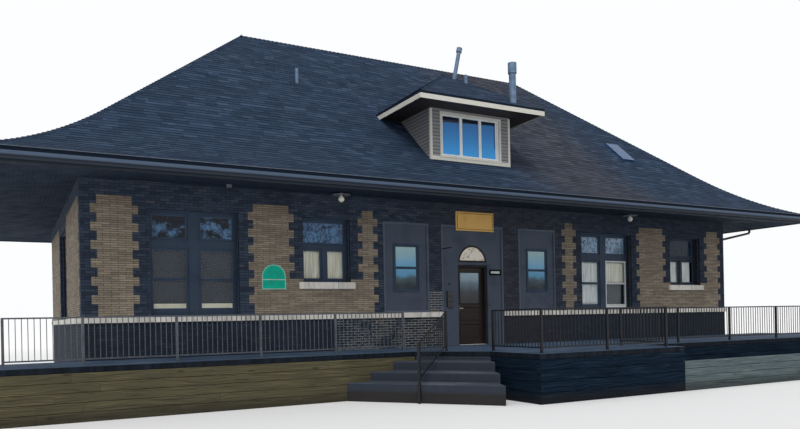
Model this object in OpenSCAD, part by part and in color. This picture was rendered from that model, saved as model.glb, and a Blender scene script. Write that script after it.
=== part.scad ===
// Small brick railway station, one storey, under a big hipped roof with flared eaves.
// Plan: X runs along the front wall to the right, Y goes into the building, Z is up.
// The origin is on the ground under the middle of the building. All sizes are in millimetres.
// Inside the modules heights count from the paving, and the lowest ground is below it.

/* [Walls] */
// Length of the front wall
wall_l = 21070; // [20000:10:25400]
// Depth of the building
wall_w = 10400; // [8600:10:12600]
// Thickness of the outer leaf of face brick
leaf_t = 100; // [60:5:140]
// Thickness of the bearing wall behind the face brick
core_t = 230; // [150:10:400]
// Height of the floor and of the deck above the paving at the foot of the steps
floor_z = 855; // [600:5:1100]
// How far walls, deck and steps run down below that paving, to the lowest ground
ground_drop = 200; // [50:5:400]
// Height of the top of the stone belt course
belt_z = 1800; // [1500:10:2100]
// Height of the belt course stone
belt_h = 133; // [80:1:200]
// How far stone courses and sills stand out from the brick
stone_proj = 55; // [20:5:100]
// Height of the window and door heads
head_z = 4230; // [3900:10:4400]
// Height of the sills of the narrow windows
narrow_sill_z = 2600; // [2300:10:3000]
// Height of the narrow windows' sill stone
sill_h = 170; // [100:5:220]
// Height of the soffit where it meets the wall
soffit_z = 4850; // [4700:10:5200]

/* [Front bays] */
// Width of the dark brick at each corner
corner_w = 340; // [250:5:500]
// Width of the dark brick between a buff panel and an opening
jamb_w = 360; // [290:5:450]
// Width of the buff panel next to the left corner
left_corner_panel_w = 730; // [500:10:1000]
// Width of the buff panel between the two left windows
left_inner_panel_w = 900; // [700:10:1200]
// Width of the wide window on the left
left_wide_w = 2050; // [1700:10:2400]
// Width of the narrow window on the left
left_narrow_w = 1300; // [1100:10:1600]
// Width of the slim buff strips beside the middle bays
strip_w = 310; // [200:5:450]
// Width of the buff panel next to the right corner
right_corner_panel_w = 560; // [400:10:900]
// Width of the buff panel between the two right windows
right_inner_panel_w = 1100; // [800:10:1400]
// Width of the wide window on the right
right_wide_w = 2160; // [1800:10:2500]
// Width of the narrow window on the right
right_narrow_w = 1490; // [1200:10:1800]
// Width of the window in each end wall
end_window_w = 2100; // [1600:10:2500]
// Middle of the entrance, measured from the middle of the wall
door_offset = -290; // [-400:10:0]
// Width of the boarded entrance surround
surround_w = 2120; // [1800:10:2300]
// Distance from the entrance to the middle of the left infill panel
left_infill_gap = 2170; // [2000:10:2300]
// Distance from the entrance to the middle of the right infill panel
right_infill_gap = 2330; // [2100:10:2500]
// Width of an infill panel
infill_w = 1410; // [1200:10:1500]

/* [Buff brick] */
// Height of the top of the buff panels
buff_top_z = 4480; // [4300:10:4600]
// Vertical distance from one quoin tooth to the next
tooth_pitch = 400; // [300:10:500]
// Height of a quoin tooth
tooth_h = 200; // [150:5:250]
// How far a tooth reaches into the dark brick
tooth_w = 130; // [60:5:140]

/* [Entrance] */
// Width of the door leaf
leaf_w = 910; // [760:5:1000]
// Height of the door leaf
leaf_h = 2195; // [2000:5:2300]
// Thickness of the door leaf
leaf_depth = 45; // [35:1:60]
// Gap round the door leaf
door_gap = 6; // [5:1:10]
// Width of the door jambs
jamb_frame_w = 45; // [35:1:80]
// Radius of the half round fanlight
fanlight_r = 485; // [400:5:520]

/* [Roof] */
// Eaves overhang to the edge of the shingles
eave = 1800; // [1400:10:2200]
// Height of the shingles at the eaves
eave_z = 4985; // [4900:5:5300]
// Height of the main slope's line above the face of the wall
rafter_z = 5976; // [5800:1:6300]
// Pitch of the main slope in degrees
roof_pitch = 41.8; // [36:0.1:45]
// How far inwards the flare of the eaves reaches
flare_d = 2400; // [1800:10:2800]
// Thickness of the roof measured upright
roof_t = 165; // [120:5:220]
// Width of the gutter
gutter_w = 95; // [70:5:140]
// Height of the gutter
gutter_h = 150; // [100:5:180]
// Height of the fascia board
fascia_h = 155; // [120:5:200]

/* [Dormer] */
// Width of the dormer's front wall
dormer_w = 2700; // [2300:10:3000]
// Height of the dormer's eaves soffit above the main slope at the wall
dormer_h = 1435; // [1360:5:1600]
// Overhang of the dormer roof
dormer_eave = 735; // [500:10:850]
// Pitch of the dormer roof in degrees
dormer_pitch = 32.7; // [25:0.1:38]
// Height of the dormer's fascia
dormer_fascia_h = 130; // [110:5:180]
// Thickness of the dormer walls
dormer_wall_t = 120; // [90:5:160]

/* [Deck] */
// How far the left deck reaches in front of the wall
deck_d = 2100; // [1900:10:2500]
// How far the right landing reaches in front of the wall
landing_d = 5300; // [5000:10:5600]
// How far the walkway right of the landing reaches in front of the wall
walk_d = 3900; // [3600:10:4200]
// Thickness of the concrete deck
deck_t = 120; // [90:5:160]
// Thickness of the retaining timbers
timber_t = 150; // [120:5:200]
// Distance from the left corner of the building to the left side of the landing
landing_x = 8200; // [8000:10:8400]
// Width of the landing
landing_w = 4340; // [4000:10:4700]
// Width of the corner of the deck that is cut off for the steps, along the front wall
cut_w = 1140; // [900:10:1300]
// Angle between the front wall and the edges of the steps
step_turn = 52; // [45:0.5:56]
// Angle between the front wall and the right side of the steps
step_side_turn = 65; // [60:0.5:75]
// Going of a step, measured square to its edge
tread_d = 470; // [350:5:480]
// Height of the guard rails above the deck
rail_h = 940; // [850:5:1100]
// Side of a guard rail post
post_w = 50; // [40:1:80]
// Side of a guard rail bar
bar_w = 14; // [12:1:20]
// Distance between guard rail bars
bar_pitch = 104; // [90:1:130]
// Distance between the posts of the left guard rail
rail_bay = 1780; // [1400:10:1800]

/* [Hidden] */
$fn = 48;

// Bays of the front wall, measured from its left corner
panel_a0 = corner_w;
panel_a1 = panel_a0 + left_corner_panel_w;
wide_a0 = panel_a1 + jamb_w;
wide_a1 = wide_a0 + left_wide_w;
panel_b0 = wide_a1 + jamb_w;
panel_b1 = panel_b0 + left_inner_panel_w;
narrow_a0 = panel_b1 + jamb_w;
narrow_a1 = narrow_a0 + left_narrow_w;
strip_a0 = narrow_a1 + jamb_w;
strip_a1 = strip_a0 + strip_w;
panel_d1 = wall_l - corner_w;
panel_d0 = panel_d1 - right_corner_panel_w;
narrow_b1 = panel_d0 - jamb_w;
narrow_b0 = narrow_b1 - right_narrow_w;
panel_c1 = narrow_b0 - jamb_w;
panel_c0 = panel_c1 - right_inner_panel_w;
wide_b1 = panel_c0 - jamb_w;
wide_b0 = wide_b1 - right_wide_w;
strip_b1 = wide_b0 - jamb_w;
strip_b0 = strip_b1 - strip_w;
door_x = wall_l / 2 + door_offset;
surround_x0 = door_x - surround_w / 2;
surround_x1 = door_x + surround_w / 2;
infill_xs = [door_x - left_infill_gap, door_x + right_infill_gap];

// Bays of an end wall, measured from its front corner
end_window_x0 = (wall_w - end_window_w) / 2;
end_window_x1 = (wall_w + end_window_w) / 2;

// The buff field under a narrow window reaches up to the top of this tooth
field_tooth = 4;
field_top_z = buff_top_z - (tooth_pitch - tooth_h) - field_tooth * tooth_pitch;
sill_ear = 120;

// Roof profile: d is the distance inwards from the edge of the shingles
pitch_rise = tan(roof_pitch);
half_span = eave + wall_w / 2;
ridge_z = rafter_z + pitch_rise * wall_w / 2;
flare_lift = eave_z - (rafter_z - pitch_rise * eave);
flare_steps = 8;
function flare(d) = d < flare_d ? flare_lift * pow(1 - d / flare_d, 2) : 0;
function roof_top(d) = rafter_z + pitch_rise * (d - eave) + flare(d);
function roof_under(d) = roof_top(d) - roof_t;
wall_t = leaf_t + core_t;
core_top_z = roof_under(eave + leaf_t);
face_top_z = soffit_z + 50;
fascia_t = 30;
fascia_top = eave_z - roof_t;
fascia_z = fascia_top - fascia_h;
gutter_t = 8;
gutter_z = fascia_top - gutter_h + 55;
soffit_t = 20;
soffit_drop = soffit_z - fascia_z - 35;
function soffit_at(y) = soffit_z + soffit_drop * y / (eave - fascia_t);
attic_t = 200;
cap_w = 150;
cap_t = 30;

// Windows
frame_y = 200;
frame_depth = 100;
frame_w = 50;
mullion_w = 235;
narrow_mullion_w = 100;
sub_sill_h = 30;
transom_h = 180;
transom_drop = 670;
sash_w = 50;
sash_foot = 120;
sash_depth = 45;
sash_back = 25;
meeting_rail_h = 45;
glass_t = 8;
glass_y = frame_y + sash_back + sash_depth / 2 - glass_t / 2;
infill_window_w = 800;
infill_window_h = 1300;
infill_window_z = belt_z + 560;
board_t = 40;
infill_back = 35;
border_w = 70;
border_t = 18;
infill_glass_y = infill_back + sash_depth / 2 - glass_t / 2;

// Entrance
door_open_w = leaf_w + 2 * door_gap + 2 * jamb_frame_w;
door_y = leaf_t + 100;
leaf_z0 = floor_z + 25;
leaf_x0 = door_x - leaf_w / 2;
leaf_x1 = door_x + leaf_w / 2;
leaf_z1 = leaf_z0 + leaf_h;
frame_head_z = leaf_z1 + door_gap;
fanlight_z = frame_head_z + 120;
hinge_r = 9;
hinge_x = leaf_x1 + door_gap / 2;
hinge_y = door_y + leaf_depth + hinge_r - 1;
door_stop = 10;
stile_w = 120;
door_pane_z0 = leaf_z0 + 1150;
door_pane_z1 = leaf_z1 - 150;

// Dormer
dormer_x = door_x + 10;
dormer_x0 = dormer_x - dormer_w / 2;
dormer_x1 = dormer_x + dormer_w / 2;
dormer_foot_z = roof_top(eave);
dormer_soffit_z = dormer_foot_z + dormer_h;
dormer_slab_t = 100;
dormer_slab_z = dormer_soffit_z + dormer_slab_t;
dormer_roof_t = 60;
dormer_eave_z = dormer_slab_z + dormer_roof_t;
dormer_half = dormer_w / 2 + dormer_eave;
dormer_rise = tan(dormer_pitch);
dormer_ridge_z = dormer_eave_z + dormer_rise * dormer_half;
dormer_end_y = (dormer_ridge_z - rafter_z) / pitch_rise + 200;
dormer_window_w = 2030;
dormer_window_h = 1220;
dormer_window_z = dormer_foot_z + 115;
dormer_frame_w = 70;
dormer_fascia_t = 20;
// Where a level at height z meets the main front slope, measured from the wall's face
function slope_y(z) = (z - rafter_z) / pitch_rise;

// Deck and steps
riser_n = 4;
riser_h = floor_z / riser_n;
deck_x0 = -eave - 90;
deck_x1 = wall_l + eave + 90;
landing_x1 = landing_x + landing_w;
tread_x = tread_d / sin(step_turn);
step_x = landing_x - cut_w;
corner_y = -deck_d - cut_w * tan(step_turn);

module on_plan() {
    translate([-wall_l / 2, -wall_w / 2, ground_drop]) children();
}

// Box between two corners
module box(x0, x1, y0, y1, z0, z1) {
    translate([x0, y0, z0]) cube([x1 - x0, y1 - y0, z1 - z0]);
}

// A flat outline drawn as an elevation becomes a plate whose face is at y
module plate(y, t) {
    translate([0, y + t, 0]) rotate([90, 0, 0]) linear_extrude(t) children();
}

// A profile drawn in Y and Z runs along X
module run(x0, x1) {
    translate([x0, 0, 0]) rotate([90, 0, 90]) linear_extrude(x1 - x0) children();
}

// What is drawn for the front wall is set on another side of the building
module on_back() {
    translate([0, wall_w, 0]) mirror([0, 1, 0]) children();
}

module on_left() {
    mirror([1, -1, 0]) children();
}

module on_right() {
    translate([wall_l, 0, 0]) mirror([1, 0, 0]) on_left() children();
}

module rect(x0, x1, z0, z1) {
    translate([x0, z0]) square([x1 - x0, z1 - z0]);
}

// Buff panel with quoin teeth on the sides that are asked for
module toothed(x0, x1, left = true, right = true) {
    rect(x0, x1, belt_z, buff_top_z);
    first = buff_top_z - (tooth_pitch - tooth_h);
    for (top = [first : -tooth_pitch : belt_z + tooth_h])
        rect(x0 - (left ? tooth_w : 0), x1 + (right ? tooth_w : 0), top - tooth_h, top);
}

// Buff field that joins two panels below a narrow window
module buff_field(x0, x1) {
    rect(x0, x1, belt_z, field_top_z);
}

module sill_outline(x0, x1) {
    rect(x0 - sill_ear, x1 + sill_ear, narrow_sill_z - sill_h, narrow_sill_z);
}

module narrow_outline(x0, x1) {
    rect(x0, x1, narrow_sill_z, head_z);
    sill_outline(x0, x1);
}

module long_wall_windows() {
    rect(wide_a0, wide_a1, belt_z, head_z);
    rect(wide_b0, wide_b1, belt_z, head_z);
    narrow_outline(narrow_a0, narrow_a1);
    narrow_outline(narrow_b0, narrow_b1);
    for (x = infill_xs) rect(x - infill_w / 2, x + infill_w / 2, belt_z, head_z);
}

module long_wall_buff() {
    difference() {
        union() {
            toothed(panel_a0, panel_a1);
            toothed(panel_b0, panel_b1);
            toothed(strip_a0, strip_a1);
            buff_field(panel_b0, strip_a1);
            toothed(strip_b0, strip_b1);
            toothed(panel_c0, panel_c1);
            toothed(panel_d0, panel_d1);
            buff_field(panel_c0, panel_d1);
        }
        long_wall_windows();
    }
}

module end_wall_buff() {
    toothed(corner_w, end_window_x0 - jamb_w);
    toothed(end_window_x1 + jamb_w, wall_w - corner_w);
}

module back_middle() {
    rect(door_x - infill_w / 2, door_x + infill_w / 2, belt_z, head_z);
}

// Openings in the bearing wall
module core_openings() {
    rect(wide_a0, wide_a1, belt_z, head_z);
    rect(wide_b0, wide_b1, belt_z, head_z);
    rect(narrow_a0, narrow_a1, narrow_sill_z, head_z);
    rect(narrow_b0, narrow_b1, narrow_sill_z, head_z);
    for (x = infill_xs) rect(x - infill_w / 2, x + infill_w / 2, belt_z, head_z);
}

// Brick base from the ground up to floor level, modelled solid, with the floor on its top
module foundation() {
    color("#3a302d") on_plan()
        box(0, wall_l, 0, wall_w, -ground_drop, floor_z);
}

module front_wall_base() {
    color("#8a8580") on_plan() {
        box(leaf_t, surround_x0, leaf_t, wall_t, floor_z, belt_z);
        box(surround_x1, wall_l - leaf_t, leaf_t, wall_t, floor_z, belt_z);
    }
}

module front_wall_piers() {
    color("#8a8580") on_plan() plate(leaf_t, core_t) difference() {
        rect(leaf_t, wall_l - leaf_t, belt_z, head_z);
        core_openings();
        rect(surround_x0, surround_x1, belt_z, head_z);
    }
}

module front_wall_head() {
    color("#8a8580") on_plan()
        box(leaf_t, wall_l - leaf_t, leaf_t, wall_t, head_z, core_top_z);
}

module back_wall() {
    color("#8a8580") on_plan() on_back() plate(leaf_t, core_t) difference() {
        rect(leaf_t, wall_l - leaf_t, floor_z, core_top_z);
        core_openings();
        back_middle();
    }
}

module end_wall_core() {
    plate(leaf_t, core_t) difference() {
        rect(wall_t, wall_w - wall_t, floor_z, core_top_z);
        rect(end_window_x0, end_window_x1, belt_z, head_z);
    }
}

module left_end_wall() {
    color("#8a8580") on_plan() on_left() end_wall_core();
}

module right_end_wall() {
    color("#8a8580") on_plan() on_right() end_wall_core();
}

// The face brick stops under the belt course and starts again above it
module belt_gap() {
    rect(-stone_proj, wall_l + stone_proj, belt_z - belt_h, belt_z);
}

module long_face() {
    difference() {
        rect(0, wall_l, floor_z, face_top_z);
        long_wall_windows();
        long_wall_buff();
        belt_gap();
    }
}

module end_face() {
    plate(0, leaf_t) difference() {
        rect(leaf_t, wall_w - leaf_t, floor_z, face_top_z);
        rect(end_window_x0, end_window_x1, belt_z, head_z);
        end_wall_buff();
        belt_gap();
    }
}

module face_brick() {
    color("#3a302d") on_plan() {
        plate(0, leaf_t) difference() {
            long_face();
            rect(surround_x0, surround_x1, floor_z, head_z);
        }
        on_back() plate(0, leaf_t) difference() {
            long_face();
            back_middle();
        }
        on_left() end_face();
        on_right() end_face();
    }
}

module buff_brick() {
    color("#b39a78") on_plan() {
        plate(0, leaf_t) long_wall_buff();
        on_back() plate(0, leaf_t) long_wall_buff();
        on_left() plate(0, leaf_t) end_wall_buff();
        on_right() plate(0, leaf_t) end_wall_buff();
    }
}

module belt_course() {
    color("#cfc8bb") on_plan() difference() {
        box(-stone_proj, wall_l + stone_proj, -stone_proj, wall_w + stone_proj,
            belt_z - belt_h, belt_z);
        box(leaf_t, wall_l - leaf_t, leaf_t, wall_w - leaf_t, belt_z - 2 * belt_h, belt_z + belt_h);
        box(surround_x0, surround_x1, -2 * stone_proj, 2 * leaf_t,
            belt_z - 2 * belt_h, belt_z + belt_h);
    }
}

module long_wall_sills() {
    plate(-stone_proj, leaf_t + stone_proj) {
        sill_outline(narrow_a0, narrow_a1);
        sill_outline(narrow_b0, narrow_b1);
    }
}

module window_sills() {
    color("#cfc8bb") on_plan() {
        long_wall_sills();
        on_back() long_wall_sills();
        box(door_x - door_open_w / 2, door_x + door_open_w / 2, leaf_t, wall_t,
            floor_z, floor_z + 12);
    }
}

// Lights of a wide window: two top lights over two pairs of sliding sashes
module wide_lights(x0, x1) {
    z_transom = head_z - transom_drop;
    half = (x1 - x0 - mullion_w) / 2;
    for (x = [x0 + frame_w, x1 - half]) {
        rect(x, x + half - frame_w, z_transom, head_z - frame_w);
        rect(x, x + half - frame_w, belt_z + frame_w, z_transom - transom_h);
    }
}

// Lights of a narrow window: one top light over two casements
module narrow_lights(x0, x1) {
    z_transom = head_z - transom_drop;
    rect(x0 + frame_w, x1 - frame_w, z_transom, head_z - frame_w);
    half = (x1 - x0 - narrow_mullion_w) / 2;
    for (x = [x0 + frame_w, x1 - half])
        rect(x, x + half - frame_w, narrow_sill_z + frame_w, z_transom - transom_h / 2);
}

module infill_lights(x) {
    rect(x - infill_window_w / 2 + frame_w / 2, x + infill_window_w / 2 - frame_w / 2,
        infill_window_z + frame_w / 2, infill_window_z + infill_window_h - frame_w / 2);
}

// Panes of glass inside the sashes of one rectangular light
module panes(x0, x1, z0, z1, sliding) {
    mid = (z0 + sash_foot + z1 - sash_w) / 2;
    if (sliding) {
        rect(x0 + sash_w, x1 - sash_w, z0 + sash_foot, mid - meeting_rail_h / 2);
        rect(x0 + sash_w, x1 - sash_w, mid + meeting_rail_h / 2, z1 - sash_w);
    } else {
        rect(x0 + sash_w, x1 - sash_w, z0 + sash_w, z1 - sash_w);
    }
}

module wide_panes(x0, x1) {
    z_transom = head_z - transom_drop;
    half = (x1 - x0 - mullion_w) / 2;
    for (x = [x0 + frame_w, x1 - half]) {
        panes(x, x + half - frame_w, z_transom, head_z - frame_w, false);
        panes(x, x + half - frame_w, belt_z + frame_w, z_transom - transom_h, true);
    }
}

module narrow_panes(x0, x1) {
    z_transom = head_z - transom_drop;
    panes(x0 + frame_w, x1 - frame_w, z_transom, head_z - frame_w, false);
    half = (x1 - x0 - narrow_mullion_w) / 2;
    for (x = [x0 + frame_w, x1 - half])
        panes(x, x + half - frame_w, narrow_sill_z + frame_w, z_transom - transom_h / 2, false);
}

module infill_panes(x) {
    panes(x - infill_window_w / 2 + frame_w / 2, x + infill_window_w / 2 - frame_w / 2,
        infill_window_z + frame_w / 2 - sash_foot + sash_w,
        infill_window_z + infill_window_h - frame_w / 2, true);
}

// Wooden sill between the stone outside and the frame, sloping outwards
module sub_sill(x0, x1, z) {
    run(x0, x1) polygon([[leaf_t - 20, z], [frame_y, z], [frame_y, z + sub_sill_h],
        [leaf_t - 20, z + sub_sill_h / 3]]);
}

// Window frame: outer frame with lights cut out, and sashes set back in each light
module wide_frame(x0, x1) {
    sub_sill(x0, x1, belt_z);
    plate(frame_y, frame_depth) difference() {
        rect(x0, x1, belt_z, head_z);
        wide_lights(x0, x1);
    }
    plate(frame_y + sash_back, sash_depth) difference() {
        wide_lights(x0, x1);
        wide_panes(x0, x1);
    }
}

module narrow_frame(x0, x1) {
    sub_sill(x0, x1, narrow_sill_z);
    plate(frame_y, frame_depth) difference() {
        rect(x0, x1, narrow_sill_z, head_z);
        narrow_lights(x0, x1);
    }
    plate(frame_y + sash_back, sash_depth) difference() {
        narrow_lights(x0, x1);
        narrow_panes(x0, x1);
    }
}

module infill_frame(x) {
    plate(infill_back - border_t, board_t + 2 * border_t) difference() {
        rect(x - infill_window_w / 2, x + infill_window_w / 2, infill_window_z,
            infill_window_z + infill_window_h);
        infill_lights(x);
    }
    plate(infill_back, sash_depth) difference() {
        infill_lights(x);
        infill_panes(x);
    }
}

module long_wall_frames() {
    wide_frame(wide_a0, wide_a1);
    wide_frame(wide_b0, wide_b1);
    narrow_frame(narrow_a0, narrow_a1);
    narrow_frame(narrow_b0, narrow_b1);
    for (x = infill_xs) infill_frame(x);
}

module long_wall_glass() {
    plate(glass_y, glass_t) {
        wide_panes(wide_a0, wide_a1);
        wide_panes(wide_b0, wide_b1);
        narrow_panes(narrow_a0, narrow_a1);
        narrow_panes(narrow_b0, narrow_b1);
    }
    plate(infill_glass_y, glass_t) for (x = infill_xs) infill_panes(x);
}

module window_frames() {
    color("#3f4a57") on_plan() {
        long_wall_frames();
        on_back() {
            long_wall_frames();
            infill_frame(door_x);
        }
        on_left() wide_frame(end_window_x0, end_window_x1);
        on_right() wide_frame(end_window_x0, end_window_x1);
    }
}

module window_glass() {
    color("#9fb4c4") on_plan() {
        long_wall_glass();
        fanlight_pane();
        on_back() {
            long_wall_glass();
            plate(infill_glass_y, glass_t) infill_panes(door_x);
        }
        on_left() plate(glass_y, glass_t) wide_panes(end_window_x0, end_window_x1);
        on_right() plate(glass_y, glass_t) wide_panes(end_window_x0, end_window_x1);
    }
}

// Boarded panel that fills an old opening, with a raised border
module infill(x) {
    x0 = x - infill_w / 2;
    x1 = x + infill_w / 2;
    plate(infill_back, board_t) difference() {
        rect(x0, x1, belt_z, head_z);
        rect(x - infill_window_w / 2, x + infill_window_w / 2, infill_window_z,
            infill_window_z + infill_window_h);
    }
    plate(infill_back - border_t, border_t) difference() {
        rect(x0, x1, belt_z, head_z);
        rect(x0 + border_w, x1 - border_w, belt_z + border_w, head_z - border_w);
    }
}

module infill_panels() {
    color("#55637a") on_plan() {
        for (x = infill_xs) infill(x);
        on_back() for (x = concat(infill_xs, [door_x])) infill(x);
    }
}

module half_disc(r) {
    intersection() {
        translate([door_x, fanlight_z]) circle(r);
        rect(door_x - r, door_x + r, fanlight_z, fanlight_z + r);
    }
}

module door_surround() {
    color("#55637a") on_plan() {
        plate(infill_back, board_t) difference() {
            rect(surround_x0, surround_x1, floor_z, head_z);
            rect(door_x - door_open_w / 2, door_x + door_open_w / 2, floor_z - 10,
                frame_head_z + jamb_frame_w);
            half_disc(fanlight_r);
        }
        plate(infill_back - border_t, border_t) difference() {
            rect(surround_x0, surround_x1, floor_z, head_z);
            rect(surround_x0 + border_w, surround_x1 - border_w, floor_z - 10, head_z - border_w);
        }
    }
}

// Jambs and head round the leaf with a stop outside it, and the arched fanlight frame above
module door_frame() {
    front = infill_back + board_t;
    color("#2e2b2a") on_plan() {
        plate(front, door_y - door_gap - front) frame_outline(door_stop);
        plate(door_y - door_gap, leaf_depth) frame_outline(0);
        plate(infill_back, board_t + 20) difference() {
            half_disc(fanlight_r);
            fanlight_light();
        }
    }
}

module frame_outline(lip) {
    difference() {
        rect(door_x - door_open_w / 2, door_x + door_open_w / 2, floor_z + 12,
            frame_head_z + jamb_frame_w);
        rect(leaf_x0 - door_gap + lip, leaf_x1 + door_gap - lip, floor_z, frame_head_z - lip);
    }
}

module fanlight_light() {
    difference() {
        half_disc(fanlight_r - 50);
        rect(door_x - fanlight_r, door_x + fanlight_r, fanlight_z - 10, fanlight_z + 50);
    }
}

module fanlight_pane() {
    plate(infill_back + 20, glass_t) fanlight_light();
}

module door_pane_outline(margin) {
    rect(leaf_x0 + stile_w - margin, leaf_x1 - stile_w + margin,
        door_pane_z0 - margin, door_pane_z1 + margin);
}

// Panelled leaf: glazed above a lock rail, with two sunk panels below, and hinge knuckles
module door_leaf() {
    color("#5a4332") on_plan() {
        difference() {
            box(leaf_x0, leaf_x0 + leaf_w, door_y, door_y + leaf_depth, leaf_z0, leaf_z1);
            plate(door_y - 5, leaf_depth + 10) door_pane_outline(0);
            for (z = [leaf_z0 + 200, leaf_z0 + 680])
                plate(door_y - 5, 17)
                    rect(leaf_x0 + stile_w, leaf_x1 - stile_w, z, z + 360);
        }
        for (z = [leaf_z0 + 250, (leaf_z0 + leaf_z1) / 2, leaf_z1 - 250])
            translate([hinge_x, hinge_y, z - 50]) cylinder(r = hinge_r, h = 100);
    }
}

module door_glass() {
    color("#9fb4c4") on_plan()
        plate(door_y + leaf_depth / 2 - glass_t / 2, glass_t) door_pane_outline(0);
}

// Lever on a back plate, near the free edge of the leaf
module door_handle() {
    handle_x = leaf_x0 + 60;
    handle_z = leaf_z0 + 1020;
    color("#8c8a86") on_plan() {
        box(handle_x - 25, handle_x + 25, door_y - 8, door_y, handle_z - 110, handle_z + 110);
        translate([handle_x, door_y - 8, handle_z]) rotate([90, 0, 0]) cylinder(d = 20, h = 45);
        box(handle_x - 10, handle_x + 115, door_y - 67, door_y - 53, handle_z - 11, handle_z + 11);
    }
}

module attic_floor() {
    color("#b09a78") on_plan()
        box(wall_t, wall_l - wall_t, wall_t, wall_w - wall_t, soffit_z, soffit_z + attic_t);
}

// Plan of one side between the mitres at its two corners, with m outside the shingle edge
module long_plan(m) {
    e = eave + m;
    polygon([[-e, -e], [wall_l + e, -e], [wall_l - wall_w / 2, wall_w / 2],
        [wall_w / 2, wall_w / 2]]);
}

module end_plan(m) {
    e = eave + m;
    polygon([[-e, -e], [wall_w / 2, wall_w / 2], [-e, wall_w + e]]);
}

module eaves_run(m) {
    intersection() {
        run(-eave - m, wall_l + eave + m) translate([-eave, 0]) children();
        linear_extrude(ridge_z + 500) long_plan(m);
    }
}

module eaves_end(m) {
    intersection() {
        on_left() run(-eave - m, wall_w + eave + m) translate([-eave, 0]) children();
        linear_extrude(ridge_z + 500) end_plan(m);
    }
}

// The same profile goes round the building and is mitred at the corners
module eaves_ring(m) {
    eaves_run(m) children();
    on_back() eaves_run(m) children();
    eaves_end(m) children();
    translate([wall_l, 0, 0]) mirror([1, 0, 0]) eaves_end(m) children();
}

flare_ds = [for (i = [0 : flare_steps]) i * flare_d / flare_steps];

module slope_profile() {
    polygon(concat(
        [for (d = flare_ds) [d, roof_top(d)]],
        [[half_span, roof_top(half_span)], [half_span, roof_under(half_span)]],
        [for (i = [flare_steps : -1 : 0]) [flare_ds[i], roof_under(flare_ds[i])]]));
}

module dormer_shaft() {
    box(dormer_x0 + dormer_wall_t, dormer_x1 - dormer_wall_t, dormer_wall_t,
        slope_y(dormer_soffit_z), soffit_z + attic_t + 10, ridge_z);
}

module roof_front() {
    color("#3b4149") on_plan() difference() {
        eaves_run(0) slope_profile();
        dormer_shaft();
    }
}

module roof_back() {
    color("#3b4149") on_plan() on_back() eaves_run(0) slope_profile();
}

module roof_ends() {
    color("#3b4149") on_plan() {
        eaves_end(0) slope_profile();
        translate([wall_l, 0, 0]) mirror([1, 0, 0]) eaves_end(0) slope_profile();
    }
}

module ridge_caps() {
    color("#33383f") on_plan() translate([0, wall_w / 2, ridge_z + 0.3])
        run(wall_w / 2, wall_l - wall_w / 2)
            polygon([[-cap_w, -cap_w * pitch_rise], [0, 0], [cap_w, -cap_w * pitch_rise],
                [cap_w, cap_t - cap_w * pitch_rise], [0, cap_t], [-cap_w, cap_t - cap_w * pitch_rise]]);
}

// Boarded soffit, falling a little from the wall to the fascia
module soffit() {
    color("#2c3138") on_plan() eaves_ring(0)
        polygon([[fascia_t, soffit_z - soffit_drop], [eave, soffit_z],
            [eave, soffit_z + soffit_t], [fascia_t, soffit_z - soffit_drop + soffit_t]]);
}

// Fascia board with an open trough hung on it, stepped in at its foot
module gutter() {
    lip_z = gutter_z + gutter_h;
    foot = gutter_w - 30;
    t = gutter_t;
    color("#5b626c") on_plan() eaves_ring(gutter_w)
        polygon([[-foot, gutter_z], [0, gutter_z], [0, fascia_z], [fascia_t, fascia_z],
            [fascia_t, fascia_top], [0, fascia_top], [0, gutter_z + t],
            [-foot + t, gutter_z + t], [-foot + t, gutter_z + 45],
            [-gutter_w + t, gutter_z + 90], [-gutter_w + t, lip_z], [-gutter_w, lip_z],
            [-gutter_w, gutter_z + 90], [-foot, gutter_z + 45]]);
}

module dormer_walls() {
    color("#a59c8f") on_plan() difference() {
        run(dormer_x0, dormer_x1) polygon([[0, dormer_foot_z], [0, dormer_soffit_z],
            [slope_y(dormer_soffit_z), dormer_soffit_z], [flare_d - eave, roof_top(flare_d)],
            each [for (i = [flare_steps - 1 : -1 : 0]) if (flare_ds[i] > eave)
                [flare_ds[i] - eave, roof_top(flare_ds[i])]]]);
        box(dormer_x0 + dormer_wall_t, dormer_x1 - dormer_wall_t, dormer_wall_t,
            slope_y(dormer_soffit_z) + 10, dormer_foot_z - 10, dormer_soffit_z + 10);
        plate(-10, dormer_wall_t + 20) dormer_window_outline();
    }
}

module dormer_window_outline() {
    rect(dormer_x - dormer_window_w / 2, dormer_x + dormer_window_w / 2, dormer_window_z,
        dormer_window_z + dormer_window_h);
}

// One side of the dormer roof: its edge is at zero and it rises along its first axis
module dormer_slope() {
    e = dormer_half;
    polygon([[0, dormer_slab_z], [0, dormer_eave_z], [e, dormer_ridge_z],
        [e, dormer_ridge_z - dormer_roof_t]]);
}

// Low hipped roof, mitred at its two hips and cut off where it meets the main slope
module dormer_roof() {
    e = dormer_half;
    long = dormer_end_y + dormer_eave;
    color("#3b4149") on_plan() difference() {
        translate([dormer_x, -dormer_eave, 0]) {
            intersection() {
                run(-e, e) dormer_slope();
                linear_extrude(ridge_z) polygon([[-e, 0], [e, 0], [0, e]]);
            }
            for (s = [0, 1]) mirror([s, 0, 0]) intersection() {
                mirror([1, -1, 0]) run(0, long) translate([-e, 0]) dormer_slope();
                linear_extrude(ridge_z) polygon([[-e, 0], [0, e], [0, long], [-e, long]]);
            }
        }
        below_roof();
    }
}

// Everything under the top of the main front slope
module below_roof() {
    run(-eave, wall_l + eave) translate([-eave, 0])
        polygon(concat([for (d = flare_ds) [d, roof_top(d)]],
            [[half_span, roof_top(half_span)], [half_span, 0], [0, 0]]));
}

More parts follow.
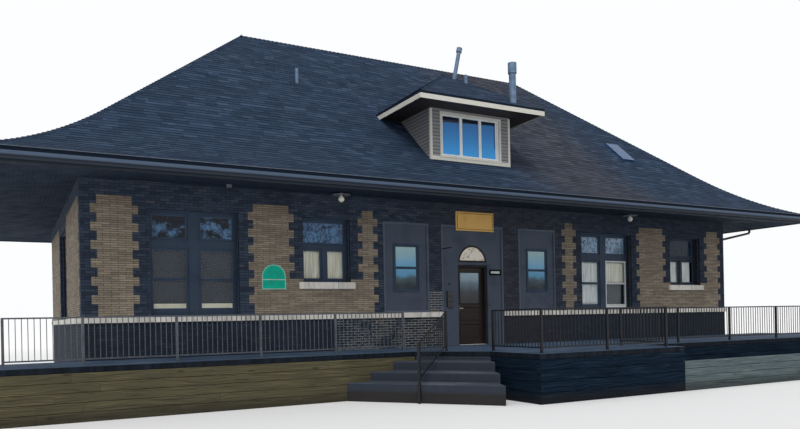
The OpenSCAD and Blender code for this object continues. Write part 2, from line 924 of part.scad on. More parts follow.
// Profile along Y of what hangs under the dormer roof from height z up to its underside
module dormer_side(y, z) {
    polygon([[y, z], [slope_y(z), z], [slope_y(dormer_slab_z), dormer_slab_z],
        [y, dormer_slab_z]]);
}

// Soffit slab and fascia under the dormer roof
module dormer_eaves() {
    x0 = dormer_x - dormer_half;
    x1 = dormer_x + dormer_half;
    t = dormer_fascia_t;
    foot = dormer_slab_z - dormer_fascia_h;
    color("#d8d2c4") on_plan() {
        difference() {
            run(x0 + t, x1 - t) dormer_side(t - dormer_eave, dormer_soffit_z);
            box(dormer_x0 + dormer_wall_t, dormer_x1 - dormer_wall_t, dormer_wall_t,
                dormer_end_y, dormer_soffit_z - 10, dormer_slab_z + 10);
        }
        run(x0, x0 + t) dormer_side(-dormer_eave, foot);
        run(x1 - t, x1) dormer_side(-dormer_eave, foot);
        box(x0 + t, x1 - t, -dormer_eave, t - dormer_eave, foot, dormer_slab_z);
    }
}

// Corner boards, the board below the window and the window frame of the dormer
module dormer_trim() {
    board_w = 110;
    proud = 20;
    color("#d8d2c4") on_plan() {
        plate(10, 80) difference() {
            dormer_window_outline();
            dormer_lights();
        }
        for (x = [dormer_x0 - proud, dormer_x1 + proud - board_w])
            box(x, x + board_w, -proud, 0, dormer_foot_z, dormer_soffit_z);
        box(dormer_x0 - proud + board_w, dormer_x1 + proud - board_w, -proud, 0,
            dormer_foot_z, dormer_window_z);
    }
}

module dormer_lights() {
    w = dormer_frame_w;
    light_w = (dormer_window_w - 4 * w) / 3;
    for (i = [0 : 2]) {
        x = dormer_x - dormer_window_w / 2 + w + i * (light_w + w);
        rect(x, x + light_w, dormer_window_z + w, dormer_window_z + dormer_window_h - w);
    }
}

module dormer_glass() {
    color("#9fb4c4") on_plan() plate(40, glass_t) dormer_lights();
}

// Things that stand on the front slope are placed by their distance from the wall's face
module on_slope(x, y) {
    translate([x, y, roof_top(eave + y)]) children();
}

module skylight() {
    color("#5d7389") on_plan() on_slope(wall_l - 3470, 1490) rotate([roof_pitch, 0, 0])
        translate([-280, -540, 0]) cube([560, 1080, 70]);
}

// Two flues and a short vent stand on the dormer roof, one leaning, and a pipe on the main slope
module roof_flues() {
    color("#a8adb3") on_plan() {
        difference() {
            union() {
                on_dormer(door_x + 1135, -500) {
                    cylinder(d = 200, h = 1180);
                    translate([0, 0, 930]) cylinder(d = 250, h = 300);
                }
                on_dormer(door_x + 150, 1050) rotate([0, 12.5, 0]) {
                    cylinder(d = 120, h = 1060);
                    translate([0, 0, 960]) cylinder(d = 170, h = 130);
                }
                on_dormer(door_x + 415, 800) cylinder(d = 100, h = 350);
            }
            below_dormer();
        }
        difference() {
            on_slope(6170, 2960) translate([0, 0, -80]) cylinder(d = 100, h = 490);
            below_roof();
        }
    }
}

// The foot of a flue starts below the front slope of the dormer roof and is cut off there
module on_dormer(x, y) {
    translate([x, y, dormer_eave_z + dormer_rise * (y + dormer_eave) - 110]) children();
}

module below_dormer() {
    run(dormer_x - dormer_half, dormer_x + dormer_half) translate([-dormer_eave, 0])
        polygon([[0, dormer_eave_z], [dormer_half, dormer_ridge_z], [dormer_half, 0], [0, 0]]);
}

// Flat round shade on a stem under the soffit, with a globe below it
lamp_y = -620;

module wall_lamp(x) {
    top = soffit_at(lamp_y - 20);
    translate([x, lamp_y, top]) {
        translate([0, 0, -72]) cylinder(d = 450, h = 12);
        translate([0, 0, -61]) cylinder(d = 40, h = 61);
        translate([0, 0, -120]) cylinder(d = 70, h = 49);
        translate([0, 0, -170]) sphere(d = 150);
    }
}

module wall_lamps() {
    color("#c9c6bd") on_plan() {
        wall_lamp((narrow_a0 + narrow_a1) / 2 + 150);
        wall_lamp((wide_b0 + wide_b1) / 2 + 400);
        translate([wide_a1 - 365, -565, soffit_at(-630) - 70]) cylinder(d = 130, h = 70);
    }
}

// Board with a row of small notches down each end
module sign_board() {
    bites = 6;
    x0 = door_x - 585;
    x1 = door_x + 710;
    z0 = head_z - 145;
    z1 = head_z + 390;
    color("#b5894e") on_plan() plate(-40, 40) difference() {
        rect(x0, x1, z0, z1);
        for (x = [x0, x1], i = [1 : bites])
            translate([x, z0 + (i - 0.5) * (z1 - z0) / bites]) rotate(45) square(26, center = true);
    }
}

module wall_plaque() {
    color("#1f9d7a") on_plan() plate(-20, 20) translate([panel_b0 + 180, belt_z + 610]) {
        square([620, 310]);
        translate([310, 310]) circle(310);
    }
}

// Number plate right of the door, and left of it small boxes, a bell and an empty bracket
module entry_boxes() {
    color("#2b2c30") on_plan() {
        box(door_x + 585, surround_x1 - border_w - 10, infill_back - 10, infill_back,
            belt_z + 1050, belt_z + 1200);
        for (i = [0 : 2])
            box(surround_x0 + 160, surround_x0 + 350, infill_back - 60, infill_back,
                belt_z + 140 + i * 155, belt_z + 280 + i * 155);
        plate(infill_back - 30, 30) translate([surround_x0 + 270, belt_z + 780]) circle(d = 75);
        box(surround_x0 + 25, surround_x0 + 55, infill_back - border_t - 8, infill_back - border_t,
            belt_z + 1720, belt_z + 1920);
        box(surround_x0 + 30, surround_x0 + 50, -470, infill_back - border_t - 8,
            belt_z + 1740, belt_z + 1765);
    }
}

// Plan of the whole deck, with the corner that the steps climb cut off at an angle
module deck_plan(inset) {
    i = inset;
    polygon([[deck_x0 + i, 0], [deck_x0 + i, -deck_d + i], [step_x, -deck_d + i],
        [landing_x + i, corner_y + i], [landing_x + i, -landing_d + i],
        [landing_x1 - i, -landing_d + i], [landing_x1 - i, -walk_d + i],
        [deck_x1 - i, -walk_d + i], [deck_x1 - i, 0]]);
}

module deck_slab() {
    color("#9aa0a6") on_plan() translate([0, 0, floor_z - deck_t])
        linear_extrude(deck_t) deck_plan(0);
}

// Retaining timbers from the lowest ground up to the concrete
module wall_foot(x0, x1, y0, y1) {
    box(x0, x1, y0, y1, -ground_drop, floor_z - deck_t);
}

module deck_timber() {
    color("#b39b62") on_plan() {
        wall_foot(deck_x0, step_x, -deck_d, -deck_d + timber_t);
        wall_foot(deck_x0, deck_x0 + timber_t, -deck_d + timber_t, 0);
    }
}

module landing_timber() {
    t = timber_t;
    color("#3a3f48") on_plan() {
        wall_foot(landing_x, landing_x1, -landing_d, -landing_d + t);
        wall_foot(landing_x, landing_x + t, -landing_d + t, -deck_d);
        wall_foot(landing_x1 - t, landing_x1, -landing_d + t, -walk_d + t);
        wall_foot(landing_x1, deck_x1, -walk_d, -walk_d + t);
        wall_foot(deck_x1 - t, deck_x1, -walk_d + t, 0);
    }
}

module planter_wall() {
    color("#8d8a84") on_plan() {
        box(landing_x1, deck_x1, -landing_d, -landing_d + timber_t, -ground_drop, 500);
        box(deck_x1 - timber_t, deck_x1, -landing_d + timber_t, -walk_d, -ground_drop, 500);
    }
}

// The steps fill the corner between deck and landing, and their edges run at an angle
module steps() {
    color("#9aa0a6") on_plan() {
        step_block(0, floor_z - deck_t);
        for (i = [1 : riser_n - 1]) step_block(i, floor_z - i * riser_h);
    }
}

module step_block(i, top) {
    translate([0, 0, -ground_drop]) linear_extrude(top + ground_drop) intersection() {
        step_plan(i);
        flight_plan();
    }
}

module step_plan(i) {
    x = step_x - i * tread_x;
    r = landing_d;
    polygon([[x, -deck_d], [x + r * cos(step_turn), -deck_d - r * sin(step_turn)],
        [landing_x + r, -deck_d - r * sin(step_turn)], [landing_x + r, -deck_d]]);
}

// Between the deck's front, the landing and the right side of the steps
module flight_plan() {
    fall = landing_d + corner_y;
    polygon([[deck_x0, -deck_d], [landing_x, -deck_d], [landing_x, corner_y],
        [landing_x - fall / tan(step_side_turn), -landing_d], [deck_x0, -landing_d]]);
}

// Guard rail along X: posts, a foot rail, a top rail and thin upright bars
module rail_run(bay, n) {
    foot = floor_z + 100;
    top = floor_z + rail_h;
    k = round(bay / bar_pitch);
    half = bar_w / 2;
    for (i = [0 : n]) post(i * bay, 0, floor_z, top);
    box(0, n * bay, -half, half, foot, foot + 30);
    box(0, n * bay, -20, 20, top - 30, top);
    for (i = [1 : n * k - 1]) if (i % k != 0)
        box(i * bay / k - half, i * bay / k + half, -half, half, foot + 20, top - 20);
}

module post(x, y, z0, z1) {
    translate([x - post_w / 2, y - post_w / 2, z0]) cube([post_w, post_w, z1 - z0]);
}

deck_rail_x1 = step_x - 60;
deck_rail_x0 = deck_x0 + 400;
rail_back = 450;
rail_in = 200;
landing_rail_x1 = landing_x1 - 2 * rail_in;

module deck_rails() {
    long = 4 * rail_bay;
    color("#4a4f57") on_plan() translate([0, -deck_d + rail_back, 0]) {
        translate([deck_rail_x1 - long, 0, 0]) rail_run(rail_bay, 4);
        translate([deck_rail_x0, 0, 0]) rail_run(deck_rail_x1 - long - deck_rail_x0, 1);
    }
}

module landing_rails() {
    side = landing_x + rail_in;
    front = -landing_d + rail_in;
    color("#22252a") on_plan() {
        translate([side, front, 0]) rail_run((landing_rail_x1 - side) / 2, 2);
        translate([side, front, 0]) rotate([0, 0, 90]) rail_run(landing_d - walk_d + 300, 1);
        translate([landing_rail_x1, front, 0]) rotate([0, 0, 90]) rail_run(landing_d - walk_d, 1);
        translate([landing_rail_x1, -walk_d + rail_in, 0])
            rail_run((deck_x1 - 2 * rail_in + 40 - landing_rail_x1) / 5, 5);
    }
}

stair_rail_run = 1567;
stair_rail_drop = 675;
stair_rail_turn = -144.8;

// Sloped hand rail down the steps, with a post at each end
module stair_rail() {
    half = bar_w / 2;
    k = 14;
    top = floor_z + rail_h;
    fall = stair_rail_drop / stair_rail_run;
    color("#22252a") on_plan() translate([step_x + 535, -deck_d - 548, 0])
        rotate([0, 0, stair_rail_turn]) {
        post(0, 0, floor_z, top);
        post(stair_rail_run, 0, -ground_drop, top - stair_rail_drop);
        for (z = [top - 40, floor_z + 130]) plate(-half, bar_w)
            polygon([[0, z], [stair_rail_run, z - stair_rail_drop],
                [stair_rail_run, z + 35 - stair_rail_drop], [0, z + 35]]);
        for (i = [1 : k - 1]) {
            x = i * stair_rail_run / k;
            plate(-half, bar_w) polygon([[x - half, floor_z + 140 - fall * x],
                [x + half, floor_z + 140 - fall * x], [x + half, top - 30 - fall * x],
                [x - half, top - 30 - fall * x]]);
        }
    }
}

foundation();
front_wall_base();
front_wall_piers();
front_wall_head();
back_wall();
left_end_wall();
right_end_wall();
face_brick();
buff_brick();
belt_course();
window_sills();
window_frames();
window_glass();
infill_panels();
door_surround();
door_frame();
door_leaf();
door_glass();
door_handle();
attic_floor();
roof_front();
roof_back();
roof_ends();
ridge_caps();
soffit();
gutter();
dormer_walls();
dormer_roof();
dormer_eaves();
dormer_trim();
dormer_glass();
skylight();
roof_flues();
wall_lamps();
sign_board();
wall_plaque();
entry_boxes();
deck_slab();
deck_timber();
landing_timber();
planter_wall();
steps();
deck_rails();
landing_rails();
stair_rail();
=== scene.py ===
"""Looks of the brick railway station: bricks, shingles, boards, timbers, glass and a plain studio."""
import math

import bmesh
import bpy
import numpy as np
from mathutils import Matrix, Vector


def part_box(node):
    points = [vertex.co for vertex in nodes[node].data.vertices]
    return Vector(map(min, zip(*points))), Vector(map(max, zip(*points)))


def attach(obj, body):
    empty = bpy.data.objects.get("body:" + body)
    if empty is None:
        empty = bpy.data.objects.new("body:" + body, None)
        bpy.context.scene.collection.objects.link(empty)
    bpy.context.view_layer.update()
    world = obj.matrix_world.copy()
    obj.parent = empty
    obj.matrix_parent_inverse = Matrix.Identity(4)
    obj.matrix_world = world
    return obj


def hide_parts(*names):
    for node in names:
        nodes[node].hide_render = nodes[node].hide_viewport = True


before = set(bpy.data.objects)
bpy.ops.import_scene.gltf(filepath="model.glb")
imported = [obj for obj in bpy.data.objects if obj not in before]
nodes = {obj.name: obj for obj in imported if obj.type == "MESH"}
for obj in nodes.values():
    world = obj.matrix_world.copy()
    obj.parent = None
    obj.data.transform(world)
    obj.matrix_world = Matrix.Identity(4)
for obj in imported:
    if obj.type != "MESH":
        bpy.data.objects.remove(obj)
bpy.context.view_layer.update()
HOUSE, DOOR = "building", "front_door"

# Places taken from the CAD, in metres
base_lo, base_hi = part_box("foundation")
LEFT, RIGHT, FRONT, BACK = base_lo.x, base_hi.x, base_lo.y, base_hi.y
FLOOR = base_hi.z
PAVING = FLOOR - 0.855
DEEP = BACK - FRONT
BELT_FOOT, BELT_TOP = (corner.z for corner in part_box("belt_course"))
BUFF_TOP, FACE_TOP = (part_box(name)[1].z for name in ("buff_brick", "face_brick"))
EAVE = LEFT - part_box("roof_front")[0].x
DOOR_X = sum(corner.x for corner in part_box("door_surround")) / 2
LAMP_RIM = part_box("wall_lamps")[0].z + 0.155
EAVE_Z = PAVING + 4.985
GUTTER_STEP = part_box("gutter")[0].z + 0.135
CLAP_FOOT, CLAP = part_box("dormer_walls")[0].z, 0.097

# Set from the photograph: the white replacement sash and the plane of the curtains
WHITE_X, WHITE_TOP = (4.99, 5.93), PAVING + 3.45
CURTAIN_Y = FRONT + 0.308

# How far the brick pattern of the reveals reaches into a wall
REVEAL_DEEP = 0.325


def tone(red, green, blue):
    """Linear colour of a screen colour given as three numbers from 0 to 255."""
    c = np.array([red, green, blue]) / 255
    lin = np.where(c <= 0.04045, c / 12.92, ((c + 0.055) / 1.055) ** 2.4)
    return (*[float(v) for v in lin], 1.0)


def worked(operation, swapped=False):
    """A method of Amount that adds one Math node for the amount and what it works with."""
    def work(self, *others):
        values = (self, *others)
        return self.math(operation, *(values[::-1] if swapped else values))
    return work


class Amount:
    """A number from a node; Python's operators add Math nodes to it."""

    def __init__(self, maker, socket):
        self.maker, self.socket = maker, socket

    def math(self, operation, *values):
        return self.maker.add("ShaderNodeMath", {"operation": operation}, dict(enumerate(values)))

    __add__ = __radd__ = worked("ADD")
    __mul__ = __rmul__ = worked("MULTIPLY")
    __sub__, __rsub__ = worked("SUBTRACT"), worked("SUBTRACT", swapped=True)
    __truediv__ = worked("DIVIDE")
    __gt__, __lt__ = worked("GREATER_THAN"), worked("LESS_THAN")
    floor, fraction, size, most = (worked(kind) for kind in ("FLOOR", "FRACT", "ABSOLUTE", "MAXIMUM"))


class Nodes:
    """A node tree, with a short way to add and link its nodes."""

    def __init__(self, tree):
        self.tree = tree

    def add(self, kind, settings=None, inputs=None, output=0):
        """A node of one type: its settings or a ramp's stops are set first and then its sockets."""
        node = self.tree.nodes.new(kind)
        for key, value in (settings or {}).items():
            if key == "stops":
                points = node.color_ramp.elements
                while len(points) < len(value):
                    points.new(0.5)
                for point, (position, colour) in zip(points, value):
                    point.position, point.color = position, tone(*colour)
            else:
                setattr(node, key, value)
        for key, value in (inputs or {}).items():
            self.feed(node.inputs[key], value)
        return Amount(self, node.outputs[output])

    def feed(self, socket, value):
        """Links an amount or sets a constant; three numbers on a colour socket are a screen colour."""
        if isinstance(value, Amount):
            self.tree.links.new(value.socket, socket)
        else:
            screen = socket.type == "RGBA" and len(value) == 3
            socket.default_value = tone(*value) if screen else value


class Finish(Nodes):
    """One procedural material: constants sit on the shader, what varies is linked to it."""

    def __init__(self, name, **constants):
        self.material = bpy.data.materials.new(name)
        self.material.use_nodes = True
        super().__init__(self.material.node_tree)
        self.body = None
        shader = self.tree.nodes["Principled BSDF"]
        self.shader, self.surface = shader, Amount(self, shader.outputs[0])
        for label, value in constants.items():
            shader.inputs[label.replace("_", " ")].default_value = value

    def give(self, **links):
        for label, value in links.items():
            self.feed(self.shader.inputs[label.replace("_", " ")], value)
        return self.material

    def cover(self, share, colour):
        """Lays a colour over the body by a share."""
        self.body = self.blend(share, self.body, colour)

    def patch(self, value, low, high, most, colour):
        """Lays a colour over the body where a value rises from low to high, up to a largest share."""
        self.cover(self.span(value, low, high, 0, most), colour)

    def done(self, film, low, high, *relief):
        """Gives the body colour, roughness that follows a film, and relief (height, depth, strength)."""
        self.give(Base_Color=self.body, Roughness=self.span(film, 0.3, 0.7, low, high))
        return self.give(Normal=self.relief(*relief)) if relief else self.material

    def mix(self, share, first, second):
        """Lets the surface go from a first shader to a second one."""
        mixed = self.add("ShaderNodeMixShader", None, {0: share, 1: first, 2: second})
        self.feed(self.tree.nodes["Material Output"].inputs["Surface"], mixed)

    def place(self):
        return self.add("ShaderNodeTexCoord", output=3)

    def here(self):
        """The place on the object, as a vector and as its three numbers."""
        spot = self.place()
        return spot, *self.parts(spot)

    def facing(self):
        return self.parts(self.add("ShaderNodeTexCoord", output=1))

    def parts(self, vector):
        first = self.add("ShaderNodeSeparateXYZ", None, {0: vector})
        return [Amount(self, out) for out in first.socket.node.outputs]

    def vector(self, x, y, z=0.0):
        return self.add("ShaderNodeCombineXYZ", None, {0: x, 1: y, 2: z})

    def stretch(self, vector, scale):
        return self.add("ShaderNodeVectorMath", {"operation": "MULTIPLY"}, {0: vector, 1: scale})

    def noise(self, vector, scale, detail=3.0, rough=0.55):
        """Noise from 0 to 1; a scale of three numbers stretches it."""
        if isinstance(scale, tuple):
            vector, scale = self.stretch(vector, scale), 1.0
        return self.add("ShaderNodeTexNoise", None,
                        {"Vector": vector, "Scale": scale, "Detail": detail, "Roughness": rough})

    def flow(self, u, v, *detail):
        """Noise over two numbers, which the caller has scaled."""
        return self.noise(self.vector(u, v), 1.0, *detail)

    def chance(self, *numbers):
        """A random number from 0 to 1 that two or three numbers fix."""
        return self.add("ShaderNodeTexWhiteNoise", {"noise_dimensions": "3D"},
                        {"Vector": self.vector(*numbers)})

    def attribute(self, name):
        return self.add("ShaderNodeAttribute", {"attribute_name": name}, None, 2)

    def uv(self):
        return self.parts(self.add("ShaderNodeUVMap", {"uv_map": "metres"}))

    def blend(self, share, first, second):
        return self.add("ShaderNodeMix", {"data_type": "RGBA"}, {0: share, 6: first, 7: second}, 2)

    def ramp(self, value, *stops):
        """A colour ramp; each stop is a position and a screen colour."""
        return self.add("ShaderNodeValToRGB", {"stops": stops}, {0: value})

    def span(self, value, low, high, start=0.0, end=1.0):
        return self.add("ShaderNodeMapRange", {"interpolation_type": "SMOOTHSTEP"},
                        {0: value, 1: low, 2: high, 3: start, 4: end})

    def relief(self, height, distance, strength=1.0):
        return self.add("ShaderNodeBump", None,
                        {"Height": height, "Distance": distance, "Strength": strength})


def inside(x, low, high):
    """One where x lies between two numbers, and nothing elsewhere."""
    return (x > low) * (x < high)


# Brick

BRICK_LONG, BRICK_COURSE, JOINT = 0.2133, 0.2 / 3, 0.010
WORN_LEFT, WORN_RIGHT = LEFT + 6, LEFT + 9.25


def worn_share(finish, x, y, z):
    """Share of old paint that has come off: low on the front wall, left of the entrance."""
    low = inside(x, WORN_LEFT, WORN_RIGHT) * (y < FRONT + 0.15) * (z < BELT_FOOT)
    pier = inside(x, DOOR_X - 1.47, DOOR_X - 1.06) * (y < FRONT + 0.15) * (z < FLOOR + 1.5)
    patch = finish.noise(finish.vector(x, z), 1.3, 4, 0.65)
    return finish.span(patch, 0.36, 0.5) * low + (1 - low) * pier * finish.span(patch, 0.3, 0.42)


def brick_pattern(f, x, y, z):
    """Courses and lengths of bricks in a reveal, and a chance for each brick."""
    course = (z - BUFF_TOP) / BRICK_COURSE
    row = course.floor()
    length = (x + y) / BRICK_LONG + (row * 0.5).fraction()
    return course, length, f.chance(length.floor(), row)


def dark_brick():
    """Painted brick: each brick has its own tone, under long dark stains.

    It has painted shade towards the right, is darker below the belt, has a painted warm glow of light
    in the middle and is worn left of the entrance.
    """
    f = Finish("dark brick", Roughness=0.8, Specular_IOR_Level=0.1)
    spot, x, y, z = f.here()
    tint = f.attribute("tint")
    f.body = f.ramp(tint, (0, (46, 56, 71)), (0.5, (57, 69, 86)), (0.9, (65, 77, 94)),
                    (1, (80, 84, 92)))
    stain = f.noise(f.stretch(spot, (0.5, 0.5, 0.18)), 1.6, 5, 0.6)
    f.patch(stain, 0.45, 0.75, 0.5, (36, 40, 50))
    # painted shade: darker towards the right
    f.patch(x, 1, 9, 0.4, (30, 36, 47))
    f.cover((z < BELT_FOOT) * 0.6, (26, 34, 45))
    # painted warm glow of light around the entrance
    f.cover(f.span((x - 0.8).size(), 0.8, 3.6, 0.3, 0) * (y < 0), (76, 62, 54))
    worn = worn_share(f, x, y, z)
    f.cover(worn * f.span(tint, 0.5, 0.95, 0, 0.8), (92, 84, 80))
    speck = f.noise(spot, 60, 2)
    f.patch(speck, 0.5, 0.72, 0.2, (84, 86, 92))
    grain = f.noise(spot, 110, 3)
    return f.done(speck, 0.62, 0.9, grain, 0.002, 0.6)


def brick_back():
    """Mortar on the outer faces, and a brick pattern in the reveals, from Object coordinates."""
    f = Finish("dark brick and mortar", Roughness=0.9, Specular_IOR_Level=0.1)
    spot, x, y, z = f.here()
    mortar = f.blend(f.noise(spot, 5, 4), (24, 31, 42), (44, 53, 66))
    worn = worn_share(f, x, y, z)
    mortar = f.blend(worn, mortar, (196, 196, 190))
    course, length, own = brick_pattern(f, x, y, z)
    body = f.ramp(own, (0, (44, 54, 68)), (0.5, (55, 66, 82)), (1, (70, 76, 88)))
    half_bed, half_head = JOINT / BRICK_COURSE / 2, JOINT / BRICK_LONG / 2
    bed = (course.fraction() - 0.5).size() > 0.5 - half_bed
    head = (length.fraction() - 0.5).size() > 0.5 - half_head
    joint = bed.most(head)
    reveal = f.blend(joint, body, mortar)
    outer = inside(y, FRONT + 0.004, BACK - 0.004) * inside(x, LEFT + 0.004, RIGHT - 0.004)
    height = (1 - joint) * outer + f.noise(spot, 90) * 0.25
    return f.give(Base_Color=f.blend(outer, mortar, reveal), Normal=f.relief(height, 0.004, 0.7))


def roman_brick():
    """Long thin buff bricks, mottled grey and brown, with painted shade under the eaves."""
    f = Finish("buff roman brick", Roughness=0.82, Specular_IOR_Level=0.25)
    spot, _, _, z = f.here()
    tint = f.attribute("tint")
    f.body = f.ramp(tint, (0, (134, 123, 109)), (0.35, (148, 136, 120)),
                    (0.7, (158, 146, 129)), (1, (172, 159, 140)))
    mottle = f.noise(f.stretch(spot, (1, 1, 2)), 7, 5, 0.65)
    f.patch(mottle, 0.46, 0.72, 0.5, (112, 105, 100))
    cloud = f.noise(spot, 1.1, 3)
    f.patch(cloud, 0.4, 0.7, 0.35, (120, 112, 104))
    # painted shade under the eaves, darkest at the top of the buff brick
    eave_shade = f.span(z, BUFF_TOP - 0.6, BUFF_TOP, 0, 0.4)
    f.cover(eave_shade, (84, 72, 62))
    grain = f.noise(spot, (60, 60, 160), 3)
    return f.done(mottle, 0.7, 0.92, grain, 0.002, 0.6)


def roman_mortar():
    """Dark mortar between the buff bricks, in two tones by noise, with a sandy relief."""
    f = Finish("buff mortar", Roughness=0.95, Specular_IOR_Level=0.1)
    spot = f.place()
    shade = f.noise(spot, 9, 4)
    body = f.blend(shade, (34, 31, 32), (58, 52, 49))
    return f.give(Base_Color=body, Normal=f.relief(f.noise(spot, 160), 0.002, 0.5))


# Stone, concrete and plaster


def belt_stone():
    """Painted limestone in blocks of their own tone, with thin joints, fine pits and rain streaks."""
    f = Finish("painted limestone", Roughness=0.7)
    spot, x, y, _ = f.here()
    along = (x + y) / 1.22
    joint = (along.fraction() - 0.5).size() > 0.4965
    own = f.chance(along.floor(), 3)
    f.body = f.blend(own, (212, 208, 200), (238, 234, 226))
    dirt = f.noise(f.stretch(spot, (5, 5, 1)), 1.5, 5, 0.65)
    f.patch(dirt, 0.45, 0.75, 0.6, (150, 144, 136))
    f.cover(joint, (96, 90, 84))
    pits = f.noise(spot, 70, 3)
    return f.done(dirt, 0.6, 0.85, pits * 0.4 - joint, 0.003, 0.6)


def concrete(name, low, mid, high, side):
    """Trowelled concrete, bluish grey, with damp patches, painted shade on the upright sides and fine pits.
    """
    f = Finish(name, Roughness=0.85, Specular_IOR_Level=0.12)
    spot, _, _, z = f.here()
    _, _, nz = f.facing()
    cloud = f.noise(spot, 0.9, 6, 0.62)
    f.body = f.ramp(cloud, (0.25, low), (0.5, mid), (0.75, high))
    fine = f.noise(spot, 24, 4, 0.7)
    f.patch(fine, 0.45, 0.8, 0.4, (60, 64, 72))
    # painted shade: upright sides take the side colour; the drip noise only varies this painted shade
    upright = 1 - f.span(nz, 0.3, 0.8)
    drip = f.noise(spot, (9, 9, 0.8), 4)
    f.cover(upright * f.span(drip, 0.3, 0.7, 0.85, 1), side)
    f.cover(1 - f.span(z, PAVING - 0.02, PAVING + 0.1), (46, 44, 44))
    pits = f.noise(spot, 120, 3)
    return f.done(cloud, 0.7, 0.92, fine + pits * 0.4, 0.004, 0.5)


def plaster():
    """Inner wall: brick pattern in the reveals, plaster on the room side painted dark grey as its shade."""
    f = Finish("inner wall", Roughness=0.9)
    spot, x, y, z = f.here()
    room = (inside(x, LEFT + REVEAL_DEEP, RIGHT - REVEAL_DEEP)
            * inside(y, FRONT + REVEAL_DEEP, BACK - REVEAL_DEEP))
    cloud = f.noise(spot, 1.4, 4)
    # painted shade: the room side of the wall is dark grey
    pale = f.blend(cloud, (50, 52, 57), (66, 68, 72))
    course, _, own = brick_pattern(f, x, y, z)
    brick = f.blend(own, (36, 31, 33), (58, 47, 46))
    bed = (course.fraction() - 0.5).size() > 0.425
    brick = f.blend(bed, brick, (40, 37, 39))
    return f.give(Base_Color=f.blend(room, brick, pale),
                  Normal=f.relief(f.noise(spot, 60), 0.002, 0.4))


# Wood


def painted_wood(name, light, dark, streaks=(2, 2, 0.35), rough=0.5, worn=None, gloss=0.18):
    """Brushed paint on boards: streaks along the grain, clouds of dirt and, where asked, worn spots."""
    f = Finish(name, Roughness=rough, Specular_IOR_Level=gloss)
    spot = f.place()
    brush = f.noise(spot, tuple(30 * s for s in streaks), 3, 0.6)
    f.body = f.blend(brush, dark, light)
    grime = f.noise(spot, 2.2, 5, 0.6)
    f.patch(grime, 0.5, 0.8, 0.5, (*(0.6 * v for v in tone(*dark)[:3]), 1))
    if worn:
        chip = f.noise(spot, 14, 5, 0.75)
        f.cover(f.span(chip, 0.66, 0.72), worn)
    return f.done(grime, rough - 0.1, rough + 0.2, brush, 0.0015, 0.5)


def woven_cloth(name, light, dark):
    """Thin curtain cloth by UV: crossed threads, broad soft stains and painted shade along fold lines."""
    f = Finish(name, Roughness=0.9, Specular_IOR_Level=0.1)
    u, v, _ = f.uv()
    weft, warp = (f.flow(u * a, v * b, 1) for a, b in ((900, 90), (90, 900)))
    threads = weft * 0.5 + warp * 0.5
    cloud = f.flow(u * 3, v * 1.2, 3)
    f.body = f.blend(f.span(cloud, 0.35, 0.7), light, dark)
    # painted shade in the folds of the cloth
    fold = f.flow(u * 26, v * 0.7, 2)
    f.patch(fold, 0.52, 0.66, 0.6, (122, 114, 98))
    return f.done(threads, 0.8, 0.98, threads, 0.0008, 0.6)


def sash_paint():
    """Dark navy sash paint, darker to the right as painted shade; one lower sash was replaced by a white one.
    """
    f = Finish("navy sash paint", Roughness=0.5, Specular_IOR_Level=0.2)
    spot, x, y, z = f.here()
    brush = f.noise(spot, (60, 60, 10), 3, 0.6)
    f.body = f.blend(brush, (44, 58, 76), (62, 79, 101))
    grime = f.noise(spot, 2.2, 5, 0.6)
    f.patch(grime, 0.5, 0.8, 0.5, (34, 43, 56))
    # painted shade: darker towards the right
    f.patch(x, 5, 9, 0.6, (20, 25, 33))
    outer = (y < FRONT + 0.005) + (y > BACK - 0.005)
    f.cover(outer * inside(x, -3.1, 2.7) * 0.9, (13, 16, 21))
    white = inside(x, *WHITE_X) * inside(z, PAVING + 1.8, WHITE_TOP) * inside(y, -4.98, 0)
    f.cover(white, f.blend(grime, (250, 252, 255), (228, 234, 240)))
    return f.done(grime, 0.4, 0.65, brush, 0.0015, 0.5)


def eaves_paint():
    """Cream fascia with flaking paint, and dark boards on the underside, darkened as painted shade."""
    f = Finish("cream fascia and dark underside", Roughness=0.55, Specular_IOR_Level=0.25)
    spot, _, y, _ = f.here()
    _, _, nz = f.facing()
    brush = f.noise(spot, (8, 8, 40), 3, 0.6)
    cream = f.blend(brush, (188, 187, 180), (214, 212, 204))
    chip = f.noise(spot, 14, 5, 0.75)
    cream = f.blend(f.span(chip, 0.66, 0.72), cream, (142, 136, 126))
    board = (y / 0.14).fraction()
    dark = f.blend(f.noise(f.stretch(spot, (1, 12, 1)), 2, 4), (30, 30, 36), (58, 54, 54))
    dark = f.blend(1 - f.span(board, 0, 0.08), dark, (12, 12, 16))
    # painted shade: faces that look down take the dark board colour
    f.body = f.blend(nz < -0.5, cream, dark)
    return f.done(chip, 0.5, 0.75, brush, 0.0015, 0.5)


def lamp_enamel():
    """Grey enamel shade and stem over a milky glass globe."""
    f = Finish("grey enamel and milky glass", Roughness=0.35)
    spot, _, _, z = f.here()
    cloud = f.noise(spot, 9, 4, 0.6)
    shade = f.blend(cloud, (96, 104, 114), (128, 136, 146))
    globe = f.blend(cloud, (236, 230, 210), (250, 246, 232))
    f.body = f.blend(z < LAMP_RIM, shade, globe)
    return f.done(cloud, 0.25, 0.5)


